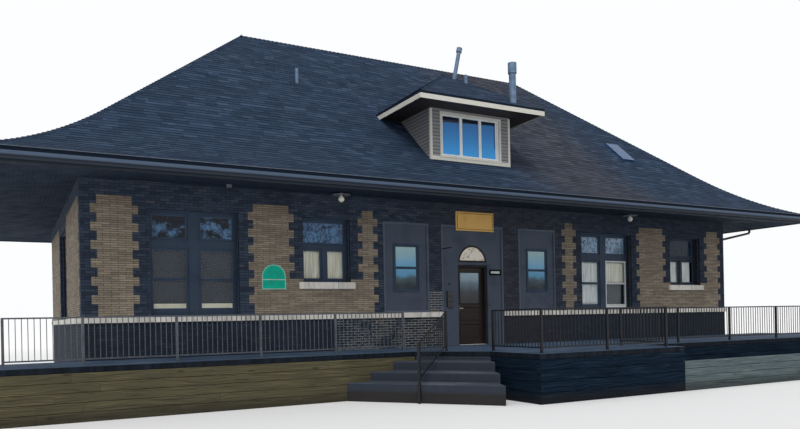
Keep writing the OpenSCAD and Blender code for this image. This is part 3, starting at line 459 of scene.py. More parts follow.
def sleeper_wood(name, pale, mid, dark, crack, gloss=0.12):
    """Weathered timber by UV: growth lines along the length, knots, checks and a darker foot near the ground.
    """
    f = Finish(name, Roughness=0.85, Specular_IOR_Level=gloss)
    u, v, _ = f.uv()
    bend = f.flow(u * 0.8, v * 3, 2)
    lines = f.flow(u * 0.9, v * 46 + bend * 9, 4, 0.6)
    f.body = f.ramp(lines, (0.28, dark), (0.48, mid), (0.68, pale))
    cloud = f.flow(u * 0.7, v * 4, 4)
    f.patch(cloud, 0.42, 0.7, 0.6, mid)
    knot = f.add("ShaderNodeTexVoronoi", None, {"Vector": f.vector(u * 1.1, v * 4.2), "Scale": 1})
    knots = 1 - f.span(knot, 0.05, 0.13)
    f.cover(knots * 0.8, dark)
    check = f.flow(u * 1.7, v * 90, 2)
    checks = f.span(check, 0.66, 0.72)
    f.cover(checks * 0.8, crack)
    _, _, z = f.parts(f.place())
    soiled = f.span(z + (cloud - 0.5) * 0.3, PAVING - 0.14, PAVING + 0.1, 1, 0)
    f.cover(soiled * 0.6, (34, 32, 30))
    return f.done(lines, 0.75, 0.95, lines - checks - knots * 0.3, 0.004, 0.7)


def door_wood():
    """Brown varnished oak with upright grain and wear low on the leaf."""
    f = Finish("brown door wood", Roughness=0.5, Specular_IOR_Level=0.25)
    spot, _, _, z = f.here()
    grain = f.noise(spot, (60, 60, 2.4), 4, 0.6)
    f.body = f.ramp(grain, (0.3, (27, 21, 18)), (0.55, (39, 31, 27)), (0.8, (57, 45, 38)))
    kick = f.span(z, FLOOR + 0.05, FLOOR + 0.5, 0.5, 0)
    f.cover(kick, (36, 30, 26))
    return f.done(grain, 0.32, 0.52, grain, 0.0012, 0.5)


# Roofing and metal

SHINGLE, TAB = 0.143, 0.305


def shingle_felt():
    """Asphalt shingles by UV: a tone for each tab, mixed with that of a wider stretch.

    A painted shadow lies under each butt line, slits are dark, granules are fine noise, the blue tint
    of the tones is a painted sky reflection, and the front slope has a brown patch.
    """
    f = Finish("charcoal shingles", Roughness=0.9, Specular_IOR_Level=0.08)
    u, v, _ = f.uv()
    course = v / SHINGLE
    row = course.floor()
    shift = f.chance(row, 5)
    tab = u / TAB + shift * 7
    own = f.chance(tab.floor(), row)
    wide = f.chance((u / (TAB * 2.3) + shift * 3).floor(), row, 8)
    mixed = own * 0.75 + wide * 0.25
    # The blue tint of these tones is a painted reflection of the sky.
    f.body = f.ramp(mixed, (0, (33, 48, 67)), (0.4, (43, 59, 80)), (0.75, (51, 68, 91)),
                    (1, (66, 84, 108)))
    x, y, _ = f.parts(f.place())
    brown_patch = f.span((x - 3.6).size(), 0.4, 3.4, 0.7, 0) * (y < 0)
    f.cover(brown_patch, f.blend(mixed, (54, 54, 60), (88, 86, 90)))
    weather = f.flow(u * 0.35, v * 0.22, 5, 0.6)
    f.patch(weather, 0.42, 0.75, 0.4, (42, 56, 75))
    # painted shadow under the butt of each course
    butt = 1 - f.span(course.fraction(), 0, 0.14)
    slit = ((tab.fraction() - 0.5).size() > 0.488) * (own > 0.35)
    f.cover(butt * 0.85 + slit * 0.3, (14, 20, 30))
    granule = f.noise(f.vector(u, v), 260, 2)
    f.patch(granule, 0.35, 0.75, 0.4, (34, 41, 52))
    return f.done(granule, 0.8, 0.98, granule * 0.5 + wide * 0.6 - slit, 0.003, 0.7)


def metal(name, light, dark, rough=0.4, metallic=0, rust=None, gloss=0.5):
    """Painted or bare metal: faint cloudy wear, fine pits and, where asked, spots of rust."""
    f = Finish(name, Roughness=rough, Metallic=metallic, Specular_IOR_Level=gloss)
    spot = f.place()
    cloud = f.noise(spot, 6, 5, 0.65)
    f.body = f.blend(f.span(cloud, 0.3, 0.7), dark, light)
    if rust:
        spots = f.noise(spot, 22, 5, 0.7)
        f.cover(f.span(spots, 0.62, 0.7), rust)
    fine = f.noise(spot, 180, 2)
    return f.done(cloud, rough - 0.08, rough + 0.15, fine, 0.0006, 0.4)


def window_pane():
    """Clear glass in the front's lower sashes; glossy opaque glass with painted reflections in all other
    lights.

    The top lights carry a painted reflection, dark blue with dark branches on the left and sky blue on the
    right, the small windows of the boarded openings a painted sky-blue reflection with a darker foot, and
    the half round light over the door is cream.
    """
    f = Finish("window glass", Transmission_Weight=1, IOR=1.3)
    spot, x, y, z = f.here()
    film = f.noise(spot, 1.7, 5, 0.6)
    clear = f.give(Base_Color=f.blend(film, (240, 246, 250), (252, 254, 255)),
                   Roughness=f.span(film, 0.45, 0.8, 0.02, 0.08))
    clouds = f.noise(f.stretch(spot, (1, 1, 1.4)), 2.4, 6, 0.68)
    bend = f.noise(f.stretch(spot, (2, 2, 1.2)), 3.4, 8, 0.62)
    branch_reflection = 1 - f.span((bend - 0.5).size(), 0, 0.045)
    fine = f.noise(spot, 16, 5, 0.75)
    twig_reflection = 1 - f.span((fine - 0.5).size(), 0, 0.03)
    # Painted reflection: sky blue to the right, darker far right, dark trees over the left, pale streaks of
    # sky high up, dark branches and twigs
    right, far = f.span(x, 2.5, 4.5), f.span(x, 6.5, 7)
    sky = f.blend(right, (100, 142, 186), (158, 190, 220))
    sky = f.blend(far, sky, (42, 58, 80))
    dark_reflection = f.span(clouds + (1 - f.span(x, -8.2, -6.6)) * 0.14, 0.5, 0.64)
    f.body = f.blend(dark_reflection * (1 - right * 0.8), sky, (30, 38, 50))
    pale = f.noise(f.stretch(spot, (0.7, 0.7, 9)), 2, 3)
    high = f.span(z, PAVING + 3.95, PAVING + 4.1)
    f.cover(right * (1 - far) * f.span(pale, 0.5, 0.6) * high, (206, 220, 232))
    f.cover(branch_reflection * 0.85, (18, 24, 34))
    f.cover(twig_reflection * (0.7 - 0.35 * right), (22, 28, 38))
    # The small windows of the boarded openings carry a painted sky-blue reflection with a darker foot.
    boarded = (y < FRONT + 0.1) + (y > BACK - 0.1)
    height = f.span(z, PAVING + 2.4, PAVING + 3.7)
    blue = f.ramp(height + (clouds - 0.5) * 0.3, (0, (40, 50, 58)), (0.16, (84, 102, 110)),
                  (0.26, (106, 172, 212)), (0.6, (130, 192, 228)), (1, (178, 210, 214)))
    f.cover(boarded, blue)
    half_round = inside(x, DOOR_X - 0.6, DOOR_X + 0.6) * (y < FRONT + 0.1)
    specks = f.span(f.noise(spot, 9, 6, 0.7), 0.52, 0.66)
    f.cover(half_round, f.blend(specks, (255, 248, 232), (178, 140, 104)))
    # Faces towards the room are painted dark as the room's shade.
    nx, ny, _ = f.facing()
    roomward = ((ny < -0.5) * (y > BACK - 0.4) + (nx > 0.5) * (x < LEFT + 0.4)
                + (nx < -0.5) * (x > RIGHT - 0.4))
    f.cover(roomward, (22, 25, 30))
    # A glossy opaque shader carries these painted reflections.
    old = f.add("ShaderNodeBsdfPrincipled", None, {"Base Color": f.body, "Specular IOR Level": 0.18,
                                                   "Roughness": f.span(film, 0.3, 0.7, 0.06, 0.2)})
    front_low = inside(y, FRONT + 0.1, 0) * (z < PAVING + 3.5) * inside(x, LEFT + 0.3, RIGHT - 0.3)
    f.mix(front_low, old, f.surface)
    return clear


def door_pane():
    """Glass of the entrance door: dark at its foot, pale blue towards its head, with soft clouds."""
    f = Finish("pale door glass", Roughness=0.1, Specular_IOR_Level=0.35)
    spot, _, _, z = f.here()
    cloud = f.noise(spot, 3, 5, 0.6)
    f.body = f.ramp(f.span(z, FLOOR + 1.17, FLOOR + 2.07) + (cloud - 0.5) * 0.4, (0, (42, 44, 48)),
                    (0.35, (64, 74, 82)), (0.7, (110, 134, 150)), (1, (168, 194, 210)))
    return f.done(cloud, 0.06, 0.2)


def gutter_metal():
    """Painted gutter: upper face paler as a painted highlight, stepped foot and fascia dark as painted
    shade, streaks of dirt.
    """
    f = Finish("gutter paint", Roughness=0.5, Specular_IOR_Level=0.25)
    spot, _, _, z = f.here()
    streak = f.noise(spot, (3, 3, 40), 4, 0.6)
    # painted highlight on the upper face and painted shade below the step
    lit_upper_share = f.span(z, GUTTER_STEP - 0.004, GUTTER_STEP + 0.004)
    f.body = f.blend(lit_upper_share, f.blend(streak, (26, 33, 44), (38, 47, 60)),
                     f.blend(streak, (60, 74, 94), (80, 96, 118)))
    return f.done(streak, 0.4, 0.7, streak, 0.001, 0.3)


def clapboard_paint():
    """Weathered clapboards: streaks along the boards and a painted shadow line under each lap."""
    f = Finish("clapboard paint", Roughness=0.7, Specular_IOR_Level=0.2)
    spot, _, _, z = f.here()
    streak = f.noise(spot, (3, 3, 60), 4, 0.6)
    f.body = f.blend(streak, (116, 118, 122), (150, 150, 152))
    board = (z - CLAP_FOOT) / CLAP
    own = f.chance(board.floor(), 2)
    f.cover(own * 0.35, (104, 104, 112))
    # painted shadow under each lap
    f.cover(f.span(board.fraction(), 0.72, 0.9) * 0.75, (52, 54, 62))
    return f.done(streak, 0.6, 0.85, streak, 0.0015, 0.5)


def loft_glass():
    """Glass with a painted blue sky reflection, deeper towards its head, a painted dark reflection of the
    eaves on top and a pale strip of cloth.
    """
    f = Finish("blue loft glass", Roughness=0.08, Specular_IOR_Level=0.3)
    spot, x, _, z = f.here()
    film = f.noise(spot, 2, 4, 0.6)
    # painted reflection of the sky, deeper blue towards the head
    height = f.span(z, PAVING + 6.2, PAVING + 7.28)
    f.body = f.ramp(height + (film - 0.5) * 0.25, (0, (54, 156, 226)), (0.5, (44, 134, 206)),
                    (1, (38, 112, 184)))
    # painted dark reflection of the eaves along the top
    eave_reflection = f.span(z - x * 0.05, PAVING + 7.14, PAVING + 7.18)
    f.cover(eave_reflection, (24, 34, 50))
    gap, cloth = inside(x, 0.545, 0.6) * (z > PAVING + 6.5), inside(x, 0.6, 0.68)
    f.cover(gap * 0.6, (28, 40, 60))
    f.cover(cloth, (214, 222, 228))
    return f.done(film, 0.05, 0.16)


# Meshes


def placed(name, data):
    """An object of some data, linked to the scene."""
    obj = bpy.data.objects.new(name, data)
    bpy.context.scene.collection.objects.link(obj)
    return obj


def settle(name, mesh, material, body=HOUSE, slot=None, stands_for=()):
    """An object of a mesh, tied to its body and the nodes that it replaces; the slot is not used."""
    mesh.materials.append(material)
    obj = placed(name, mesh)
    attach(obj, body)
    if stands_for:
        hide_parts(*stands_for)
    return obj


def piece(name, vertices, faces, material, uvs=None, tints=None, smooth=False, **ties):
    """A mesh from arrays, in the row frame; uvs hold metres for each face corner."""
    mesh = bpy.data.meshes.new(name)
    faces = np.asarray(faces, np.int32)
    sides = faces.shape[1]
    mesh.vertices.add(len(vertices))
    mesh.vertices.foreach_set("co", np.asarray(vertices, np.float32).ravel())
    mesh.loops.add(faces.size)
    mesh.loops.foreach_set("vertex_index", faces.ravel())
    mesh.polygons.add(len(faces))
    mesh.polygons.foreach_set("loop_start", np.arange(len(faces), dtype=np.int32) * sides)
    mesh.polygons.foreach_set("loop_total", np.full(len(faces), sides, np.int32))
    if uvs is not None:
        mesh.uv_layers.new(name="metres").data.foreach_set("uv", np.asarray(uvs, np.float32).ravel())
    if tints is not None:
        layer = mesh.attributes.new("tint", "FLOAT", "FACE")
        layer.data.foreach_set("value", np.asarray(tints, np.float32))
    mesh.update(calc_edges=True)
    mesh.validate()
    mesh.polygons.foreach_set("use_smooth", np.full(len(mesh.polygons), smooth))
    return settle(name, mesh, material, **ties)


def joined(name, parts, material, slot, **more):
    """One mesh from several (vertices, faces, uvs) groups."""
    shift = np.cumsum([0] + [len(p[0]) for p in parts[:-1]])
    faces = np.concatenate([p[1] + n for p, n in zip(parts, shift)])
    uvs = np.concatenate([p[2] for p in parts]) if len(parts[0]) > 2 else None
    return piece(name, np.concatenate([p[0] for p in parts]), faces, material, slot=slot, uvs=uvs, **more)


def cells(rows, columns):
    """Row and column number of every cell of a grid, row by row."""
    return [v.ravel() for v in np.meshgrid(np.arange(rows), np.arange(columns), indexing="ij")]


def grid_faces(rows, columns):
    """Quads of a grid whose points run row by row, for rows by columns of cells."""
    r, c = cells(rows, columns)
    corner = r * (columns + 1) + c
    return np.stack([corner, corner + 1, corner + columns + 2, corner + columns + 1], 1)


def ring_faces(rings, sides, wrap=0):
    """Quads between rings of points, each ring closed; with wrap the last ring meets the first."""
    j, k = cells(rings - 1 + wrap, sides)
    after, beside = (j + 1) % rings, (k + 1) % sides
    return np.stack([j * sides + k, j * sides + beside, after * sides + beside, after * sides + k], 1)


def normals(vertices, faces):
    """Cross product of each quad's diagonals: square to the quad and twice its area long."""
    a, b, c, d = vertices[faces.T]
    return np.cross(c - a, d - b)


def solid_faces(vertices, faces):
    """The quads that have an area."""
    return faces[np.linalg.norm(normals(vertices, faces), axis=1) > 1e-7]


def facing_up(vertices, faces):
    """The quads, turned over together if they look down."""
    return faces[:, ::-1] if normals(vertices, faces)[:, 2].sum() < 0 else faces


def boxes(low, high):
    """Vertices and quads of many boxes given by two arrays of corners."""
    pick = np.array([[0, 0, 0], [1, 0, 0], [1, 1, 0], [0, 1, 0],
                     [0, 0, 1], [1, 0, 1], [1, 1, 1], [0, 1, 1]], bool)
    vertices = np.where(pick[None], high[:, None], low[:, None]).reshape(-1, 3)
    quads = np.array([[0, 3, 2, 1], [4, 5, 6, 7], [0, 1, 5, 4], [1, 2, 6, 5], [2, 3, 7, 6], [3, 0, 4, 7]])
    return vertices, (quads[None] + 8 * np.arange(len(low))[:, None, None]).reshape(-1, 4)


def node_triangles(node):
    """Corner points of every triangle of a CAD node."""
    mesh = nodes[node].data
    mesh.calc_loop_triangles()
    co = np.zeros(len(mesh.vertices) * 3, np.float32)
    mesh.vertices.foreach_get("co", co)
    index = np.zeros(len(mesh.loop_triangles) * 3, np.int32)
    mesh.loop_triangles.foreach_get("vertices", index)
    return co.reshape(-1, 3)[index].reshape(-1, 3, 3)


def flat_triangles(node, axis, level):
    """Triangles of a CAD node that lie on one upright plane, as (along, height) corners."""
    corners = node_triangles(node)
    on = (np.abs(corners[:, :, axis] - level) < 2e-4).all(1)
    return corners[on][:, :, [1 - axis, 2]].astype(float)


def solid_boxes(node):
    """Lowest and highest corners of each separate solid of a CAD node."""
    corners = node_triangles(node).astype(float)
    points, index = np.unique(np.round(corners.reshape(-1, 3), 4), axis=0, return_inverse=True)
    index = index.reshape(-1, 3)
    label = np.arange(len(points))
    while True:
        fresh = label.copy()
        np.minimum.at(fresh, index.ravel(), np.repeat(label[index].min(1), 3))
        if (fresh == label).all():
            break
        label = fresh
    groups = [points[label == one] for one in np.unique(label)]
    return np.array([g.min(0) for g in groups]), np.array([g.max(0) for g in groups])


# Mouldings


def rectangle(a, b, low, high):
    """Outline of an upright rectangle, moved inwards by a distance."""
    return lambda i: np.array([(a + i, low + i), (b - i, low + i), (b - i, high - i), (a + i, high - i)])


def arched(a, b, low, high):
    """Outline with a straight foot and a round head, moved inwards by a distance."""
    turn = np.linspace(0, np.pi, 25)
    middle, radius = (a + b) / 2, (b - a) / 2
    return lambda i: np.concatenate([[(a + i, low + i), (b - i, low + i)],
                                     np.stack([middle + (radius - i) * np.cos(turn),
                                               high - radius + (radius - i) * np.sin(turn)], 1)])


def moulding(outline, profile, level, axis=1, outward=-1):
    """A closed moulding round an upright outline.

    Each profile pair (i, p) gives one ring: the outline moved in by i, at a height p off the face.
    """
    inwards, proud = np.array(profile).T
    rings = np.stack([outline(i) for i in inwards])
    points = np.zeros((*rings.shape[:2], 3))
    points[..., 1 - axis], points[..., 2] = rings[..., 0], rings[..., 1]
    points[..., axis] = level + outward * proud[:, None]
    faces = ring_faces(*rings.shape[:2], wrap=1)
    return points.reshape(-1, 3), faces[:, ::-1] if (axis == 1) == (outward > 0) else faces


def rim(low, high, profile, thin=0.02):
    """A moulding on the outer face of an upright box; a box thinner than thin in x faces an end."""
    axis = 0 if high[0] - low[0] < thin else 1
    outward = 1 if low[axis] > 0 else -1
    level = high[axis] if outward > 0 else low[axis]
    return moulding(rectangle(low[1 - axis], high[1 - axis], low[2], high[2]), profile, level, axis, outward)


def rims(node, profile, *thin):
    """A moulding on each separate solid of a CAD node."""
    return [rim(*ends, profile, *thin) for ends in zip(*solid_boxes(node))]


def crossed(triangles, height):
    """Stretches of a level line that the triangles cover, joined where they touch."""
    z = triangles[:, :, 1] - height
    hit = triangles[(z.min(1) < 0) & (z.max(1) > 0)]
    if not len(hit):
        return []
    nxt = np.roll(hit, -1, 1)
    z0, z1 = hit[:, :, 1] - height, nxt[:, :, 1] - height
    cuts = (z0 < 0) != (z1 < 0)
    share = np.where(cuts, z0 / np.where(cuts, z0 - z1, 1), 0)
    along = hit[:, :, 0] + share * (nxt[:, :, 0] - hit[:, :, 0])
    spans = np.stack([np.where(cuts, along, 1e9).min(1), np.where(cuts, along, -1e9).max(1)], 1)
    found = []
    for a, b in spans[np.argsort(spans[:, 0])]:
        if found and a < found[-1][1] + 1e-3:
            found[-1][1] = max(found[-1][1], b)
        else:
            found.append([a, b])
    return found


SMALLEST_BRICK = 0.004


def lay_bricks(triangles, bottom, top, anchor, long, course, joint, seed):
    """Rows of bricks over the covered stretches: (along0, along1, z0, z1, tint) of each brick.

    Joints step by half a brick each course, and a brick is cut where an opening ends.
    """
    chance = np.random.default_rng(seed)
    levels = np.unique(np.round(triangles[:, :, 1], 4))
    first = math.floor((bottom - anchor) / course + 1e-6)
    last = math.ceil((top - anchor) / course - 1e-6)
    out = []
    for row in range(first, last):
        z0, z1 = anchor + row * course, anchor + (row + 1) * course
        lo, hi = max(z0 + joint / 2, bottom), min(z1 - joint / 2, top)
        cuts = [lo, *(v for v in levels if lo + SMALLEST_BRICK < v < hi - SMALLEST_BRICK), hi]
        offset = (row % 2) * long / 2
        for a, b in zip(cuts[:-1], cuts[1:]):
            if b - a < SMALLEST_BRICK:
                continue
            for s, e in crossed(triangles, (a + b) / 2):
                k0, k1 = math.ceil((s - offset) / long + 0.15), math.floor((e - offset) / long - 0.15)
                marks = offset + long * np.arange(k0, k1 + 1)
                left = np.concatenate([[s], marks + joint / 2])
                right = np.concatenate([marks - joint / 2, [e]])
                tint = chance.random(len(left))
                out.append(np.stack([left, right, np.full(len(left), a), np.full(len(left), b), tint], 1))
    bricks = np.concatenate(out)
    return bricks[bricks[:, 1] - bricks[:, 0] > SMALLEST_BRICK]


def brick_field(name, wall, wall_nodes, spans, size, proud, material, slot, seed):
    """Bricks as shallow blocks that stand proud of one face of the CAD walls."""
    axis, level, outward = wall
    triangles = np.concatenate([flat_triangles(n, axis, level) for n in wall_nodes])
    laid = np.concatenate([lay_bricks(triangles, *span, *size, seed + i) for i, span in enumerate(spans)])
    chance = np.random.default_rng(seed + 50)
    far = level + outward * proud * (0.8 + 0.4 * chance.random(len(laid)))
    ends = np.zeros((2, len(laid), 3))
    ends[:, :, 1 - axis], ends[:, :, 2] = laid[:, :2].T, laid[:, 2:4].T
    ends[:, :, axis] = np.sort([0 * far + level - outward * 0.001, far], axis=0)
    piece(name, *boxes(*ends), material, slot=slot, tints=np.repeat(laid[:, 4], 6))


# Roof form, as in the CAD: d is the distance inwards from the edge of the shingles

RISE = math.tan(math.radians(41.8))
RAFTER = PAVING + 5.976
FLARE = 2.4
HALF_SPAN = EAVE + DEEP / 2
FLARE_LIFT = EAVE_Z - (RAFTER - RISE * EAVE)
KNOT_D = np.append(np.arange(9) * 0.3, HALF_SPAN)
KNOT_Z = RAFTER + RISE * (KNOT_D - EAVE) + FLARE_LIFT * np.clip(1 - KNOT_D / FLARE, 0, 1) ** 2
BUTT, TUCK = 0.008, 0.0015


def shingle_rows(knot_d, knot_z):
    """Rows of a stepped slope: each course starts thick at its butt and thins to the next one.

    Returns d, z and the distance along the slope of every row, with the thickness added square
    to the slope.
    """
    along = np.concatenate([[0], np.cumsum(np.hypot(np.diff(knot_d), np.diff(knot_z)))])
    marks = np.append(np.arange(int(along[-1] / SHINGLE) + 1) * SHINGLE, along[-1])
    s = np.repeat(marks, 2)
    lift = np.tile([TUCK, BUTT], len(marks))
    lift[-1] = TUCK
    d, z = np.interp(s, along, knot_d), np.interp(s, along, knot_z)
    ahead, up = (np.interp(s + 0.01, along, knot) - np.interp(s - 0.01, along, knot)
                 for knot in (knot_d, knot_z))
    run = np.hypot(ahead, up)
    return d, z, -lift * up / run, lift * ahead / run, s + np.tile([-1e-4, 1e-4], len(marks))


def shingle_slope(name, knot_d, knot_z, columns, place, seed, gap=None):
    """A slope of shingle courses; columns gives the lines across it for an array of d."""
    d, z, push, raise_, v = shingle_rows(knot_d, knot_z)
    u = columns(d, z)
    wave = 1 + 0.5 * (np.random.default_rng(seed).random(u.shape) - 0.5)
    points = place(u, (d[:, None] + push[:, None] * wave), (z[:, None] + raise_[:, None] * wave))
    vertices = np.stack(np.broadcast_arrays(*points), -1).reshape(-1, 3)
    faces = grid_faces(u.shape[0] - 1, u.shape[1] - 1)
    uv = np.stack(np.broadcast_arrays(u, v[:, None]), -1).reshape(-1, 2)
    if gap is not None:
        row, column = np.divmod(np.arange(len(faces)), u.shape[1] - 1)
        middle = (d[row] + d[row + 1]) / 2
        faces = faces[~((column >= gap[0]) & (column < gap[1]) & (middle > gap[2]) & (middle < gap[3]))]
    faces = solid_faces(vertices, facing_up(vertices, faces))
    piece(name, vertices, faces, shingles, slot="shingles", uvs=uv[faces.ravel()])


def even(low, high, count):
    """Evenly spaced columns between two limits that change from row to row."""
    return low[:, None] + (high - low)[:, None] * np.linspace(0, 1, count + 1)


def cap_run(path, wing_a, wing_b, seed):
    """Overlapping cap shingles along a ridge or hip: a bent strip stepped like the courses."""
    path = np.stack(np.broadcast_arrays(*path), 1).astype(float)
    along = np.concatenate([[0], np.cumsum(np.linalg.norm(np.diff(path, axis=0), axis=1))])
    marks = np.append(np.arange(int(along[-1] / SHINGLE) + 1) * SHINGLE, along[-1])
    s = np.repeat(marks, 2)[1:-1]
    lift = np.tile([0.016, 0.006], len(marks))[: len(s)]
    centre = np.stack([np.interp(s, along, path[:, k]) for k in range(3)], 1)
    a, b = np.asarray(wing_a, float), np.asarray(wing_b, float)
    shape = [a, a, a * 0.5, (a + b) * 0.03, b * 0.5, b, b]
    raised = np.array([-0.3, 1.0, 1.1, 1.6, 1.1, 1.0, -0.3])
    chance = np.random.default_rng(seed)
    sway = 1 + 0.12 * (chance.random(len(s) // 2 + 1).repeat(2)[: len(s)] - 0.5)
    points = centre[:, None] + np.array(shape)[None] * sway[:, None, None]
    points[:, :, 2] += lift[:, None] * raised
    vertices = points.reshape(-1, 3)
    down = s + np.tile([1e-4, -1e-4], len(marks))[: len(s)]
    uv = np.stack(np.broadcast_arrays(np.linspace(0, 0.29, 7) + seed * 3.1, down[:, None]), -1).reshape(-1, 2)
    faces = facing_up(vertices, grid_faces(len(s) - 1, 6))
    return vertices, faces, uv[faces.ravel()]


# Timbers, boards and pipes


def rounded_profile(wide, high, radius):
    """Twelve points round a rectangle with eased corners."""
    centres = [(1, 1, 0), (-1, 1, 90), (-1, -1, 180), (1, -1, 270)]
    return np.array([((wide / 2 - radius) * sx + radius * math.cos(t + math.radians(a)),
                      (high / 2 - radius) * sy + radius * math.sin(t + math.radians(a)))
                     for sx, sy, a in centres for t in np.radians([0, 45, 90])])


def beam(start, end, wide, high, radius, index, ripple=0.0):
    """A sawn timber: a rounded profile carried from start to end with a slight ripple."""
    start, end = np.asarray(start, float), np.asarray(end, float)
    length = np.linalg.norm(end - start)
    along = (end - start) / length
    up = np.array([0, 0, 1.0]) if abs(along[2]) < 0.9 else np.array([0, 1.0, 0])
    stations = max(2, int(length / 0.4) + 1)
    t = np.linspace(0, 1, stations)
    profile = rounded_profile(wide, high, radius)
    inset = 1 - ripple * np.random.default_rng(900 + index).random((stations, 12)) / (wide / 2)
    shape = profile[None] * inset[:, :, None]
    points = ((start + np.outer(t, end - start))[:, None] + shape[..., :1] * np.cross(along, up)
              + shape[..., 1:] * up)
    vertices = points.reshape(-1, 3)
    girth = np.append(0, np.cumsum(np.linalg.norm(np.roll(profile, -1, 0) - profile, axis=1)))
    u, v = t * length + index * 7.31, girth + index * 1.73
    r, c = cells(stations - 1, 12)
    uv = np.stack([np.stack([u[r + i], v[c + j]], 1) for i, j in ((0, 0), (0, 1), (1, 1), (1, 0))], 1)
    cap = np.array([[0, 1, 10, 11], [1, 2, 9, 10], [2, 3, 8, 9], [3, 4, 7, 8], [4, 5, 6, 7]])
    cap_uv = np.stack([profile[:, 0] * 0.2 + index, profile[:, 1] + index * 1.73], 1)
    faces = np.concatenate([ring_faces(stations, 12), cap[:, ::-1], cap + (stations - 1) * 12])
    uv = np.concatenate([uv, cap_uv[cap[:, ::-1]], cap_uv[cap]])
    away = vertices[faces[:, :3]].mean(1) - (start + end) / 2
    if (away * normals(vertices, faces)).sum() < 0:
        faces, uv = faces[:, ::-1], uv[:, ::-1]
    return vertices, faces, uv.reshape(-1, 2)


def post(x, y, z0, z1, *size):
    """An upright beam; size is width, height, radius and index."""
    return beam((x, y, z0), (x, y, z1), *size)


def rail(x0, x1, y, z, *size):
    """A level beam along the front; size is width, height, radius and index."""
    return beam((x0, y, z), (x1, y, z), *size)


SLEEPER_LONG, SLEEPER_THICK = 2.6, 0.15


def sleeper_run(start, end, top, courses, index):
    """Courses of sleepers between two points, with butt joints that step from course to course."""
    start, end = np.array([*start, 0.0]), np.array([*end, 0.0])
    total = np.linalg.norm(end - start)
    along = (end - start) / total
    high = top / courses
    chance = np.random.default_rng(300 + index)
    parts = []
    for row in range(courses):
        first = SLEEPER_LONG * (0.35 + 0.5 * ((row * 0.618) % 1))
        marks = np.concatenate([[0], np.arange(first, total - 0.5, SLEEPER_LONG), [total]])
        for a, b in zip(marks[:-1], marks[1:]):
            back = 0.003 * chance.random()
            p, q = start + along * (a + 0.0015), start + along * (b - 0.0015)
            p[2] = q[2] = (row + 0.5) * high
            parts.append(beam(p, q, SLEEPER_THICK - back, high - 0.004, 0.009,
                              index * 40 + len(parts), 0.0015))
    return parts


def lapped_boards(place, low, high, foot, top):
    """Clapboards: each board stands out at its foot and thins to the board above it.

    low and high give the ends of the boards for heights z; place turns (end, lift, z) into points.
    """
    count = math.ceil((top - foot) / CLAP)
    z = np.repeat(np.minimum(foot + np.arange(count + 1) * CLAP, top), 2)
    lift = np.tile([0.002, 0.012], count + 1)
    lift[-1] = 0.002
    ends = np.stack([low(z), np.maximum(high(z), low(z))], 1)
    points = place(ends, lift[:, None] * np.ones(2), z[:, None] * np.ones(2))
    vertices = np.stack(np.broadcast_arrays(*points), -1).reshape(-1, 3)
    return vertices, solid_faces(vertices, grid_faces(len(z) - 1, 1))


def eaves_ring(outs, heights):
    """A profile carried round the four eaves and mitred at the corners.

    outs are distances out from the walls; the ring turns anticlockwise seen from above.
    """
    outs = np.asarray(outs, float)
    corners = [(LEFT, FRONT, -1, -1), (RIGHT, FRONT, 1, -1), (RIGHT, BACK, 1, 1), (LEFT, BACK, -1, 1)]
    rings = [np.stack([x + sx * outs, y + sy * outs, heights], 1) for x, y, sx, sy in corners]
    return np.stack(rings, 1).reshape(-1, 3), ring_faces(len(outs), 4)


def tube(path, radius, sides=14):
    """A round pipe: circles square to the path, halfway between its runs at a bend, ends closed."""
    path = np.asarray(path, float)
    step = np.diff(path, axis=0)
    step /= np.linalg.norm(step, axis=1)[:, None]
    way = np.concatenate([step[:1], (step[:-1] + step[1:]), step[-1:]])
    way /= np.linalg.norm(way, axis=1)[:, None]
    first = np.cross(way, (0.31, 0.95, 0.04))
    first /= np.linalg.norm(first, axis=1)[:, None]
    second = np.cross(way, first)
    turn = np.linspace(0, 2 * np.pi, sides + 1)[:-1, None]
    circle = np.cos(turn) * first[:, None] + np.sin(turn) * second[:, None]
    radius = np.broadcast_to(np.asarray(radius, float), (len(path),))
    points = path[:, None] + circle * radius[:, None, None]
    k = np.arange(sides // 2 - 1)
    cap = np.stack([k, k + 1, sides - 2 - k, sides - 1 - k], 1)
    faces = np.concatenate([ring_faces(len(path), sides), cap[:, ::-1], cap + (len(path) - 1) * sides])
    return points.reshape(-1, 3), faces


def hung_cloth(name, x0, x1, foot, top, folds, deep, material, seed, held="gathered"):
    """Gathered cloth: its depth is a sum of two waves across, which grows a little towards the foot."""
    across, down = 14 * folds + 1, 12
    share, drop = np.linspace(0, 1, across)[None], np.linspace(0, 1, down)[:, None]
    phase = 2 * np.pi * folds * share + 0.9 * np.sin(5.1 * share + seed)
    wave = deep * (0.72 * np.sin(phase) + 0.28 * np.sin(2.4 * phase + seed)) * (0.7 + 0.3 * drop)
    x = x0 + (x1 - x0) * share + 0 * drop
    z = top - (top - foot) * drop - 0.006 * np.sin(phase * 0.5) * drop
    points = np.stack([x, CURTAIN_Y + wave, z], -1)
    width = float(np.linalg.norm(np.diff(points, axis=1), axis=2).sum(1).mean())
    flat = (width, top - foot)
    uv = np.stack(np.broadcast_arrays(share * width, drop * flat[1]), -1).reshape(-1, 2)
    faces = grid_faces(down - 1, across - 1)
    cloth = piece(name, points.reshape(-1, 3), faces, material, uvs=uv[faces.ravel()], smooth=True)
    solid = cloth.modifiers.new("cloth thickness", "SOLIDIFY")
    solid.thickness, solid.offset = 0.001, 0


